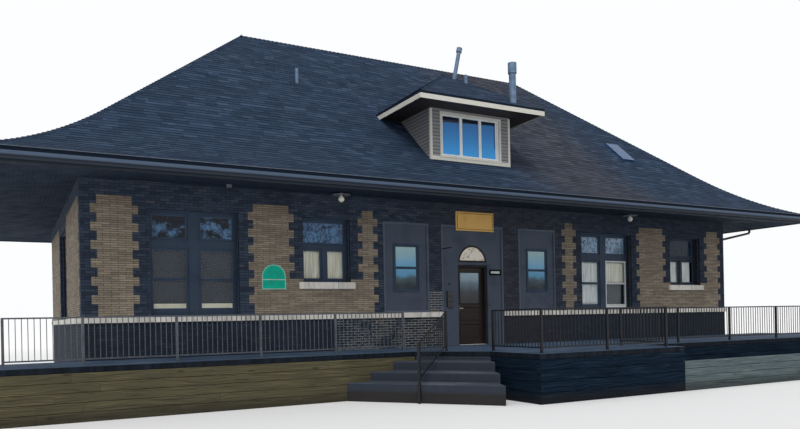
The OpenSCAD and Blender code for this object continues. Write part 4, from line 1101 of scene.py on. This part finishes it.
def eased(node, name, width, material, slot):
    """A copy of a CAD node with its doubles merged and its sharp edges rounded by a bevel."""
    work = bmesh.new()
    work.from_mesh(nodes[node].data)
    bmesh.ops.remove_doubles(work, verts=work.verts, dist=1e-5)
    bmesh.ops.dissolve_limit(work, angle_limit=0.001, verts=work.verts, edges=work.edges)
    bmesh.ops.recalc_face_normals(work, faces=work.faces)
    mesh = bpy.data.meshes.new(name)
    work.to_mesh(mesh)
    work.free()
    bevel = settle(name, mesh, material, HOUSE, slot, [node]).modifiers.new("eased edges", "BEVEL")
    bevel.width, bevel.segments, bevel.limit_method = width, 3, "ANGLE"


# Finishes

BLUE_LIGHT, BLUE_DARK = (83, 93, 109), (67, 76, 91)
brick_paint, brick_core = dark_brick(), brick_back()
buff_paint, buff_core = roman_brick(), roman_mortar()
stone_paint, wall_plaster = belt_stone(), plaster()
# The last colour of each concrete is the painted shade of its upright sides.
step_concrete = concrete("step concrete", (44, 52, 60), (62, 70, 80), (86, 94, 104), (48, 54, 64))
deck_concrete = concrete("deck concrete", (44, 58, 76), (58, 74, 94), (80, 97, 118), (9, 14, 21))
blue_wood = painted_wood("blue grey paint", BLUE_LIGHT, BLUE_DARK)
frame_wood = sash_paint()
# The eaves boards are dark navy, darkened further as painted shade under the deep eaves.
dark_wood = painted_wood("dark eaves boards", (50, 64, 82), (30, 40, 53), (0.35, 0.35, 2), 0.85, gloss=0.08)
black_wood = painted_wood("dark door frame", (48, 46, 46), (32, 31, 32))
cream_wood = painted_wood("cream trim", (214, 212, 204), (188, 187, 180), (1, 1, 0.4), worn=(142, 136, 126))
clap_wood = clapboard_paint()
eaves_wood = eaves_paint()
floor_wood = painted_wood("attic boards", (74, 68, 62), (54, 50, 46), (0.2, 2, 2), 0.7)
yellow_timber = sleeper_wood("yellow sleepers", (104, 98, 74), (76, 72, 56),
                             (48, 46, 36), (22, 20, 17))
stained_timber = sleeper_wood("blue black sleepers", (38, 52, 66), (14, 28, 42),
                              (6, 13, 22), (2, 4, 8), gloss=0.03)
grey_timber = sleeper_wood("grey sleepers", (112, 124, 124), (80, 93, 96),
                           (50, 60, 63), (22, 27, 30))
blue_trim = painted_wood("border board paint", (100, 111, 128), (80, 90, 106))
# Bead paint is lighter than the sashes as a painted highlight along the frame edges.
bead_highlight_paint = painted_wood("navy bead paint lightened as painted highlight", (84, 106, 134), (62, 82, 108))
white_paint = painted_wood("white gloss paint", (232, 236, 236), (206, 212, 214), (1, 1, 0.4), 0.4)
# Boards of painted shade: dark and grey sheets behind clear panes, standing for the shade of the room.
shade_board_paint = painted_wood("dark boards of painted shade", (66, 76, 90), (44, 52, 64), (0.05, 1, 0.12), 0.8,
                            gloss=0.05)
grey_shade_board_paint = painted_wood("grey board of painted shade", (92, 102, 110), (72, 82, 90), (0.3, 1, 0.3), 0.8,
                           gloss=0.05)
sill_cream = painted_wood("cream inner sill", (255, 248, 222), (240, 230, 200), (0.3, 2, 2))
sign_line = painted_wood("dark line on the sign", (70, 52, 34), (50, 36, 24))
# The pale lip is a painted highlight along the gutter's edge and the drip edge.
lip_highlight_paint = metal("gutter lip with painted highlight", (112, 122, 138), (84, 94, 108), gloss=0.25)
cream_cloth = woven_cloth("cream curtain cloth", (255, 252, 234), (240, 232, 208))
white_cloth = woven_cloth("white curtain cloth", (255, 255, 252), (238, 241, 238))
sign_timber = painted_wood("sign board wood", (250, 204, 124), (226, 176, 98), (0.3, 1, 2), gloss=0.2)
oak = door_wood()
shingles = shingle_felt()
gutter_paint = gutter_metal()
black_paint = metal("black rail paint", (30, 32, 38), (19, 20, 25), 0.45, gloss=0.3)
grey_paint = metal("grey rail paint", (84, 90, 98), (62, 67, 74), 0.5, gloss=0.3)
zinc = metal("dull galvanised", (108, 132, 160), (74, 96, 122), 0.55, 0.3, (92, 78, 68))
steel = metal("satin steel", (176, 174, 170), (140, 138, 134), 0.3, 1)
lamp_paint = lamp_enamel()
green_paint = metal("green enamel", (0, 192, 162), (0, 172, 144), 0.4, gloss=0.15)
plate_black = metal("black plate frame", (16, 16, 19), (8, 8, 10), 0.6, gloss=0.08)
box_paint = metal("black boxes", (44, 45, 48), (30, 31, 34), 0.35)
pane, loft_pane, pale_pane = window_pane(), loft_glass(), door_pane()
roof_light = metal("skylight glass", (48, 86, 132), (30, 60, 100), 0.15, gloss=0.2)

COATS = {
    brick_core: "foundation face_brick", buff_core: "buff_brick",
    wall_plaster: "front_wall_base front_wall_piers front_wall_head back_wall left_end_wall right_end_wall",
    stone_paint: "belt_course window_sills", frame_wood: "window_frames", pane: "window_glass",
    pale_pane: "door_glass", loft_pane: "dormer_glass", blue_wood: "infill_panels door_surround",
    black_wood: "door_frame", oak: "door_leaf", steel: "door_handle", floor_wood: "attic_floor",
    shingles: "roof_front roof_back roof_ends dormer_roof ridge_caps", dark_wood: "soffit",
    gutter_paint: "gutter", clap_wood: "dormer_walls", eaves_wood: "dormer_eaves", cream_wood: "dormer_trim",
    roof_light: "skylight", zinc: "roof_flues", lamp_paint: "wall_lamps", sign_timber: "sign_board",
    green_paint: "wall_plaque", box_paint: "entry_boxes", step_concrete: "steps", deck_concrete: "deck_slab",
    grey_paint: "deck_rails", black_paint: "landing_rails stair_rail", yellow_timber: "deck_timber",
    stained_timber: "landing_timber", grey_timber: "planter_wall",
}
for finish, names in COATS.items():
    for name in names.split():
        nodes[name].data.materials.clear()
        nodes[name].data.materials.append(finish)

# Bricks on the four walls

BRICK, ROMAN = (BRICK_LONG, BRICK_COURSE, JOINT), (0.315, 0.05, 0.009)
ABOVE, BELOW = (BELT_TOP, FACE_TOP, BUFF_TOP), (FLOOR, BELT_FOOT, BELT_FOOT)
TO_GROUND = (0.0, BELT_FOOT, BELT_FOOT)
WALLS = {"front": (1, FRONT, -1), "back": (1, BACK, 1), "left": (0, LEFT, -1), "right": (0, RIGHT, 1)}
for number, (side, wall) in enumerate(WALLS.items()):
    dark_nodes, low_span = ((["face_brick"], BELOW) if side == "front"
                            else (["face_brick", "foundation"], TO_GROUND))
    brick_field(f"{side}_dark_bricks", wall, dark_nodes, [low_span, ABOVE], BRICK, 0.005, brick_paint,
                "brick", 11 + number)
    brick_field(f"{side}_buff_bricks", wall, ["buff_brick"], [(BELT_TOP, BUFF_TOP, BUFF_TOP)], ROMAN,
                0.006, buff_paint, "buff_brick", 31 + number)

# Shingles, hips and ridges

dorm_lo, dorm_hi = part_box("dormer_roof")
walls_lo, walls_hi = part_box("dormer_walls")
DORM_X, DORM_HALF = (dorm_lo.x + dorm_hi.x) / 2, (dorm_hi.x - dorm_lo.x) / 2
DORM_EAVE_Z = dorm_lo.z + 0.06
SHAFT_HALF = (walls_hi.x - walls_lo.x) / 2 - 0.12
SHAFT_BACK = (dorm_lo.z - 0.1 - RAFTER) / RISE


def front_columns(d, z):
    """Columns of the front slope, with the dormer's shaft between two straight ones."""
    a, b = np.full_like(d, DORM_X - SHAFT_HALF), np.full_like(d, DORM_X + SHAFT_HALF)
    return np.concatenate([even(LEFT - EAVE + d, a, 9), even(a, b, 3)[:, 1:],
                           even(b, RIGHT + EAVE - d, 9)[:, 1:]], 1)


shingle_slope("front_shingles", KNOT_D, KNOT_Z, front_columns, lambda u, d, z: (u, FRONT - EAVE + d, z), 1,
              gap=(9, 12, EAVE + 0.12, EAVE + SHAFT_BACK))
shingle_slope("back_shingles", KNOT_D, KNOT_Z,
              lambda d, z: even(LEFT - EAVE + d, RIGHT + EAVE - d, 20),
              lambda u, d, z: (u, BACK + EAVE - d, z), 2)
for side, sign, edge in (("left", 1, LEFT - EAVE), ("right", -1, RIGHT + EAVE)):
    shingle_slope(f"{side}_end_shingles", KNOT_D, KNOT_Z,
                  lambda d, z: even(FRONT - EAVE + d, BACK + EAVE - d, 10),
                  lambda u, d, z: (edge + sign * d, u, z), 3 + sign)
dorm_d, dorm_z = np.array([0.0, DORM_HALF]), np.array([DORM_EAVE_Z, dorm_hi.z])
shingle_slope("dormer_front_shingles", dorm_d, dorm_z,
              lambda d, z: even(DORM_X - DORM_HALF + d, DORM_X + DORM_HALF - d, 5),
              lambda u, d, z: (u, dorm_lo.y + d, z), 7)
for side, sign in (("left", 1), ("right", -1)):
    shingle_slope(f"dormer_{side}_shingles", dorm_d, dorm_z,
                  lambda d, z: even(dorm_lo.y + d, FRONT + (z - RAFTER) / RISE, 5),
                  lambda u, d, z: (DORM_X - sign * (DORM_HALF - d), u, z), 9 + sign)

hip_d = np.linspace(0.02, HALF_SPAN, 60)
hip_z = np.interp(hip_d, KNOT_D, KNOT_Z)
caps = []
for number, (sx, sy) in enumerate([(1, 1), (-1, 1), (1, -1), (-1, -1)]):
    cx = LEFT - EAVE if sx > 0 else RIGHT + EAVE
    cy = FRONT - EAVE if sy > 0 else BACK + EAVE
    caps.append(cap_run((cx + sx * hip_d, cy + sy * hip_d, hip_z), (sx * 0.15, 0, 0),
                        (0, sy * 0.15, 0), number))
caps.append(cap_run((np.linspace(LEFT + DEEP / 2, RIGHT - DEEP / 2, 9), (FRONT + BACK) / 2, KNOT_Z[-1]),
                    (0, -0.13, -0.13 * RISE), (0, 0.13, -0.13 * RISE), 5))
joined("roof_cap_shingles", caps, shingles, "shingles", stands_for=["ridge_caps"])

dorm_rise = (dorm_hi.z - DORM_EAVE_Z) / DORM_HALF
d = np.linspace(0.02, DORM_HALF, 12)
caps = [cap_run((DORM_X - sx * (DORM_HALF - d), dorm_lo.y + d, DORM_EAVE_Z + dorm_rise * d),
                (sx * 0.12, 0, 0), (0, 0.12, 0), number) for number, sx in ((11, 1), (12, -1))]
ridge_end = FRONT + (dorm_hi.z - RAFTER) / RISE - 0.05
caps.append(cap_run((DORM_X, np.linspace(dorm_lo.y + DORM_HALF, ridge_end, 5), dorm_hi.z),
                    (-0.11, 0, -0.11 * dorm_rise), (0.11, 0, -0.11 * dorm_rise), 14))
joined("dormer_cap_shingles", caps, shingles, "shingles")

# Sleepers round the deck, the landing and the planter: each run is its two ends in plan

deck_lo, deck_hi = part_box("deck_timber")
land_lo, land_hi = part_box("landing_timber")
plant_lo, plant_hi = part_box("planter_wall")
THICK, MID = SLEEPER_THICK, SLEEPER_THICK / 2
WALK_Y = FRONT - 3.9
SLEEPERS = [
    ("deck_sleepers", "deck_timber", yellow_timber, "yellow_timber", deck_hi.z, 5, [
        (deck_lo.x, deck_lo.y + MID, deck_hi.x, deck_lo.y + MID),
        (deck_lo.x + MID, deck_lo.y + THICK, deck_lo.x + MID, FRONT)]),
    ("landing_sleepers", "landing_timber", stained_timber, "stained_timber", land_hi.z, 4, [
        (land_lo.x, land_lo.y + MID, plant_lo.x, land_lo.y + MID),
        (land_lo.x + MID, land_lo.y + THICK, land_lo.x + MID, deck_lo.y),
        (plant_lo.x - MID, land_lo.y + THICK, plant_lo.x - MID, WALK_Y + THICK),
        (plant_lo.x, WALK_Y + MID, land_hi.x, WALK_Y + MID),
        (land_hi.x - MID, WALK_Y + THICK, land_hi.x - MID, FRONT)]),
    ("planter_sleepers", "planter_wall", grey_timber, "grey_timber", plant_hi.z, 4, [
        (plant_lo.x, plant_lo.y + MID, plant_hi.x, plant_lo.y + MID),
        (plant_hi.x - MID, plant_lo.y + THICK, plant_hi.x - MID, WALK_Y)])]
index = 0
for name, node, finish, slot, top, courses, runs in SLEEPERS:
    parts = []
    for x0, y0, x1, y1 in runs:
        index += 1
        parts += sleeper_run((x0, y0), (x1, y1), top, courses, index)
    joined(name, parts, finish, slot, stands_for=[node])

# Mouldings round panes, panels and the plaque: pairs of (inwards, proud)

QUARTER_ROUND = [(0, 0), (0, 0.012), (0.004, 0.0115), (0.008, 0.0095), (0.011, 0.006), (0.012, 0)]
CASING = [(0.006, 0), (0.006, 0.008), (0.01, 0.012), (0.014, 0.012), (0.018, 0.008), (0.018, 0)]
TRIM_BOARD = [(0, -0.004), (0, 0.008), (0.003, 0.011), (0.047, 0.011), (0.05, 0.008), (0.05, -0.004)]
PLAQUE_RIM = [(0.012, 0), (0.012, 0.004), (0.024, 0.004), (0.024, 0)]
PLAQUE_BAR = [(0, 0), (0, 0.004), (0.0079, 0.004), (0.0079, 0)]
SIGN_LINE = [(0.04, 0), (0.04, 0.004), (0.052, 0.004), (0.052, 0)]
PLATE_RIM = [(-0.006, -0.008), (-0.006, 0.01), (-0.002, 0.014), (0.034, 0.014), (0.042, 0.004),
             (0.042, -0.008)]
PLATE_FACE = [(0.041, -0.001), (0.041, 0.003), (0.045, 0.006), (0.0745, 0.006), (0.0745, -0.001)]
glass = list(zip(*solid_boxes("window_glass")))
beads, small_beads, white_rims = [], [], []
for low, high in glass:
    if (low[2] < PAVING + 3.2 or high[2] > PAVING + 3.7 or high[0] - low[0] < 0.02
            or abs((low[0] + high[0]) / 2 - DOOR_X) > 0.1):
        (small_beads if abs(low[1]) > BACK - 0.1 else beads).append(rim(low, high, QUARTER_ROUND))
    if WHITE_X[0] < low[0] and high[0] < WHITE_X[1] and high[1] < 0 and high[2] < WHITE_TOP:
        proud = 0.034 if low[2] > PAVING + 2.4 else 0.03
        white_rims.append(rim(low, high, [(-0.052, -0.004), (-0.052, proud), (-0.048, proud + 0.004),
                                          (-0.004, proud + 0.004), (0.004, proud - 0.006), (0.004, -0.004)]))
joined("glazing_beads", beads, bead_highlight_paint, "blue_grey_wood")
joined("small_window_beads", small_beads, frame_wood, "blue_grey_wood")
joined("white_replacement_sash", white_rims, white_paint, "blue_grey_wood")
joined("casing_beads", rims("window_frames", CASING, 0.3), bead_highlight_paint, "blue_grey_wood")
joined("panel_border_boards", rims("infill_panels", TRIM_BOARD), blue_trim, "blue_grey_wood")
surr_lo, surr_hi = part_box("door_surround")
EDGE, edge_y = 0.025, surr_lo.y - 0.002
borders = [post(x, edge_y, surr_lo.z, surr_hi.z, 2 * EDGE, 0.022, 0.004, number)
           for x, number in ((surr_lo.x + EDGE, 1), (surr_hi.x - EDGE, 2))]
borders.append(rail(surr_lo.x + 2 * EDGE, surr_hi.x - 2 * EDGE, edge_y, surr_hi.z - EDGE,
                    0.022, 2 * EDGE, 0.004, 3))
joined("surround_border_boards", borders, blue_trim, "blue_grey_wood")

low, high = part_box("wall_plaque")
bar = low.z + 0.235
joined("plaque_rim", [moulding(arched(low.x, high.x, low.z, high.z), PLAQUE_RIM, low.y),
                      moulding(rectangle(low.x + 0.02, high.x - 0.02, bar, bar + 0.016), PLAQUE_BAR, low.y)],
       white_paint, "green_metal")
joined("sign_border", [rim(*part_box("sign_board"), SIGN_LINE)], sign_line, "sign_wood")
plate = max(zip(*solid_boxes("entry_boxes")), key=lambda ends: ends[0][0])
joined("number_plate_frame", [rim(*plate, PLATE_RIM)], plate_black, "black_metal")
joined("number_plate_enamel", [rim(*plate, PLATE_FACE)], white_paint, "black_metal")

# Panel mouldings of the entrance door, on both faces of the leaf

PANEL = [(-0.02, 0), (-0.018, 0.004), (-0.006, 0.006), (0, 0.003), (0.012, -0.006), (0.012, -0.01),
         (-0.02, -0.01)]
leaf_lo, leaf_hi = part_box("door_leaf")
panel_x = leaf_lo.x + 0.12
joined("door_panel_mouldings",
       [moulding(rectangle(panel_x, panel_x + 0.67, FLOOR + a, FLOOR + b), PANEL, level, 1, outward)
        for level, outward in ((leaf_lo.y, -1), (leaf_hi.y, 1))
        for a, b in ((0.225, 0.585), (0.705, 1.065), (1.175, 2.07))], oak, "door_wood", body=DOOR)

# Boards under the eaves, gutter lip and drip edge

SOFFIT_WALL = PAVING + 4.85
soffit_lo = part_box("soffit")[0]
SOFFIT_OUT, SOFFIT_EDGE = LEFT - soffit_lo.x, soffit_lo.z
BOARD, GAP, BOARD_THICK = 0.0885, 0.005, 0.009
count = int(SOFFIT_OUT / BOARD)
start = SOFFIT_OUT - 0.002 - BOARD * np.arange(count)
outs = np.append((start[:, None] - np.array([0, 0.0002, BOARD - GAP - 0.0002, BOARD - GAP])).ravel(), 0.0)
drop = np.append(np.tile([0.0, BOARD_THICK, BOARD_THICK, 0.0], count), 0.0)
slope = SOFFIT_EDGE + (SOFFIT_WALL - SOFFIT_EDGE) * (SOFFIT_OUT - outs) / SOFFIT_OUT
vertices, faces = eaves_ring(outs, slope - 0.0015 - drop)
piece("soffit_boards", vertices, faces[:, ::-1], dark_wood, slot="dark_wood")
gutter_lo, gutter_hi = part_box("gutter")
LIP_OUT, LIP_Z, LIP = LEFT - gutter_lo.x - 0.008, gutter_hi.z - 0.006, 0.0075
turn = np.linspace(0, 2 * np.pi, 11)
piece("gutter_lip", *eaves_ring(LIP_OUT + LIP * np.cos(turn), LIP_Z + LIP * np.sin(turn)), lip_highlight_paint,
      slot="painted_metal", smooth=True)
drip = np.array([(0.004, 0), (0.012, 0), (0.012, 0.012), (-0.02, 0.02), (-0.02, 0.012), (0.004, 0)])
piece("drip_edge", *eaves_ring(EAVE + drip[:, 0], drip[:, 1] + EAVE_Z - 0.012), lip_highlight_paint,
      slot="painted_metal")

# Rain pipe from the right gutter to the foot of the right end wall: pairs of (out, height)

PIPE, STAND, pipe_y = 0.041, 0.075, FRONT + 0.2
bend = [(1.76, PAVING + 4.68), (1.76, PAVING + 4.6), (1.71, PAVING + 4.55), (STAND + 0.08, PAVING + 4.25),
        (STAND + 0.01, PAVING + 4.19), (STAND, PAVING + 4.1), (STAND, FLOOR + 0.28),
        (STAND + 0.01, FLOOR + 0.2), (STAND + 0.1, FLOOR + 0.12), (STAND + 0.16, FLOOR + 0.09)]
pipes = [tube([(RIGHT + out, pipe_y, z) for out, z in bend], PIPE)]
for height in (FLOOR + 0.5, FLOOR + 1.7, FLOOR + 2.9):
    pipes.append(tube([(RIGHT + STAND, pipe_y, height + rise) for rise in (-0.012, -0.011, 0.011, 0.012)],
                      [PIPE, PIPE + 0.006, PIPE + 0.006, PIPE]))
    pipes.append(tube([(RIGHT + 0.002, pipe_y, height), (RIGHT + STAND - PIPE, pipe_y, height)], 0.012, 8))
joined("rain_pipe", pipes, black_paint, "black_metal")

# Clapboards, casing and small fittings of the dormer

win_lo, win_hi = min(zip(*solid_boxes("dormer_trim")), key=lambda ends: ends[1][0] - ends[0][0])
WALL_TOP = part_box("dormer_eaves")[0].z + 0.001


def face_boards(x0, x1, foot, top):
    """Clapboards on the dormer's front."""
    return lapped_boards(lambda e, lift, z: (e, walls_lo.y - lift, z), lambda z: 0 * z + x0,
                         lambda z: 0 * z + x1, foot, top)


def cheek_boards(x, sign):
    """Clapboards on one cheek, up to where the main slope reaches their height."""
    return lapped_boards(lambda e, lift, z: (x + sign * lift, e, z), lambda z: 0 * z + walls_lo.y,
                         lambda z: FRONT - EAVE + np.interp(z, KNOT_Z, KNOT_D), walls_lo.z, WALL_TOP)


left_cheek = cheek_boards(walls_lo.x, -1)
joined("dormer_clapboards", [
    face_boards(walls_lo.x + 0.04, win_lo[0], walls_lo.z, win_hi[2]),
    face_boards(win_hi[0], walls_hi.x - 0.04, walls_lo.z, win_hi[2]),
    face_boards(walls_lo.x + 0.04, walls_hi.x - 0.04, CLAP_FOOT + 14 * CLAP, WALL_TOP),
    (left_cheek[0], left_cheek[1][:, ::-1]), cheek_boards(walls_hi.x, 1)], clap_wood, "clapboard")
SASH = [(-0.036, -0.03), (-0.036, 0.022), (-0.032, 0.027), (0.004, 0.027), (0.01, 0.02), (0.012, 0),
        (0.012, -0.03)]
CASE = [(-0.03, -0.01), (-0.03, 0.018), (-0.024, 0.024), (0.03, 0.024), (0.036, 0.018), (0.036, -0.01)]
joined("dormer_sashes", rims("dormer_glass", SASH), white_paint, "cream_wood")
casing = moulding(rectangle(win_lo[0], win_hi[0], win_lo[2], win_hi[2]), CASE, walls_lo.y)
joined("dormer_window_casing", [casing], cream_wood, "cream_wood")
face = walls_lo.y - 0.008
CORNERS = ((walls_lo.x, 1), (walls_hi.x, -1))
trims = [post(edge + inwards * 0.018, face, walls_lo.z, WALL_TOP, 0.07, 0.03, 0.004, 40 + number)
         for number, (edge, inwards) in enumerate(CORNERS)]
trims += [post(edge - inwards * 0.008, walls_lo.y + 0.018, walls_lo.z + 0.02, WALL_TOP, 0.02, 0.05, 0.003,
               44 + number) for number, (edge, inwards) in enumerate(CORNERS)]
trims += [rail(walls_lo.x - 0.015, walls_hi.x + 0.015, face, walls_lo.z + 0.055, 0.034, 0.11, 0.005, 48),
          rail(win_lo[0] - 0.05, win_hi[0] + 0.05, face - 0.008, win_lo[2] - 0.012, 0.04, 0.035, 0.008, 49)]
joined("dormer_corner_and_base_boards", trims, cream_wood, "cream_wood", stands_for=["dormer_trim"])

# Curtains, blind, inner sills and boards of painted shade behind the clear lower sashes, by x and height

CLOTHS = [("narrow_window_curtain_left", -5.345, -4.875, 2.69, 3.44, 7, 0.026, cream_cloth),
          ("narrow_window_curtain_right", -4.695, -4.225, 2.69, 3.44, 7, 0.026, cream_cloth),
          ("far_window_curtain_left", 7.875, 8.44, 2.69, 3.44, 7, 0.022, white_cloth),
          ("far_window_curtain_right", 8.62, 9.1, 2.69, 3.44, 6, 0.022, white_cloth),
          ("wide_window_curtain", 3.88, 4.74, 1.96, 3.36, 9, 0.018, white_cloth),
          ("wide_window_blind", 5.03, 5.885, 2.68, 3.36, 6, 0.006, cream_cloth, "hung")]
for number, (name, x0, x1, foot, top, folds, deep, cloth, *held) in enumerate(CLOTHS):
    hung_cloth(name, x0, x1, PAVING + foot, PAVING + top, folds, deep, cloth, number + 1, *held)
joined("inner_window_sills", [rail(x0, x1, FRONT + 0.31, PAVING + 1.99, 0.1, 0.2, 0.012, number)
                              for x0, x1, number in ((-9.025, -8.228, 20), (-7.932, -7.135, 21))],
       sill_cream, "cream_wood")
# Boards of painted shade stand behind the clear panes where the room looks dark.
joined("painted_shade_boards", [rail(x0, x1, FRONT + 0.375, PAVING + 2.72, 0.018, 1.75, 0.004, number)
                                 for x0, x1, number in ((-9.25, -8.06, 60), (-8.05, -6.9, 61))],
       shade_board_paint, "dark_wood")
joined("grey_painted_shade_board", [rail(4.85, 6.1, FRONT + 0.4, PAVING + 2.66, 0.018, 1.5, 0.004, 63)],
       grey_shade_board_paint, "dark_wood")

# Steps and stone with eased edges

eased("steps", "worn_steps", 0.022, step_concrete, "concrete")
eased("deck_slab", "deck_slab_eased", 0.012, deck_concrete, "concrete")
eased("window_sills", "eased_window_sills", 0.006, stone_paint, "stone")
eased("sign_board", "carved_sign_board", 0.005, sign_timber, "sign_wood")

# Studio: a floor that fades to white, soft light and the photograph's camera

pale = Finish("pale floor", Base_Color=(0.8, 0.8, 0.8, 1), Roughness=0.9)
spot, x, y, z = pale.here()
squares = x * x + (y + 4.0) * (y + 4.0)
glow = pale.add("ShaderNodeEmission", None, {"Color": (1, 1, 1, 1), "Strength": 1.0})
pale.mix(pale.span(squares.math("SQRT", squares), 24, 60), pale.surface, glow)
SIDES = 64
turn = np.linspace(0, 2 * np.pi, SIDES + 1)[:-1]
rings = np.concatenate([r * np.stack([np.cos(turn), np.sin(turn), 0 * turn], 1) for r in (0.5, 40.0, 400.0)])
floor_mesh = bpy.data.meshes.new("floor")
floor_mesh.from_pydata(rings.tolist(), [], ring_faces(3, SIDES)[:, ::-1].tolist() + [list(range(SIDES))])
floor_mesh.materials.append(pale.material)
floor = placed("floor", floor_mesh)
floor.location.z = -0.001

WORLD_LIGHT = 0.62
world = bpy.data.worlds.new("studio")
bpy.context.scene.world = world
world.use_nodes = True
sky = Nodes(world.node_tree)
camera_ray, glossy_ray, glass_ray = (sky.add("ShaderNodeLightPath", output=f"Is {kind} Ray")
                                     for kind in ("Camera", "Glossy", "Transmission"))
seen = camera_ray.most(glossy_ray.most(glass_ray))
background = sky.tree.nodes["Background"]
background.inputs[0].default_value = (0.98, 0.99, 1.0, 1)
sky.feed(background.inputs[1], sky.add("ShaderNodeMapRange", None, {0: seen, 3: WORLD_LIGHT, 4: 1.0}))

sun_data = bpy.data.lights.new("soft_key", "SUN")
sun_data.energy, sun_data.angle = 1.7, math.radians(30)
sun = placed("soft_key", sun_data)
sun.rotation_euler = Vector((-0.34, -0.46, 0.82)).to_track_quat("Z", "Y").to_euler()

YAW, ROLL = math.radians(28.835), math.radians(-1.149)
right = Vector((math.cos(YAW), -math.sin(YAW), 0))
ahead = Vector((math.sin(YAW), math.cos(YAW), 0))
up = Vector((0, 0, 1))
camera_data = bpy.data.cameras.new("photograph")
camera_data.lens, camera_data.sensor_width, camera_data.shift_y = 32.227, 36.0, 0.1311
camera_data.clip_start, camera_data.clip_end = 0.1, 1000
camera = placed("photograph", camera_data)
turned = Matrix((right * math.cos(ROLL) + up * math.sin(ROLL), up * math.cos(ROLL) - right * math.sin(ROLL),
                 -ahead)).transposed().to_4x4()
turned.translation = Vector((LEFT - 1.431, FRONT - 16.823, PAVING + 1.62))
camera.matrix_world = turned
bpy.context.scene.camera = camera
bpy.context.scene.view_settings.view_transform = "Standard"
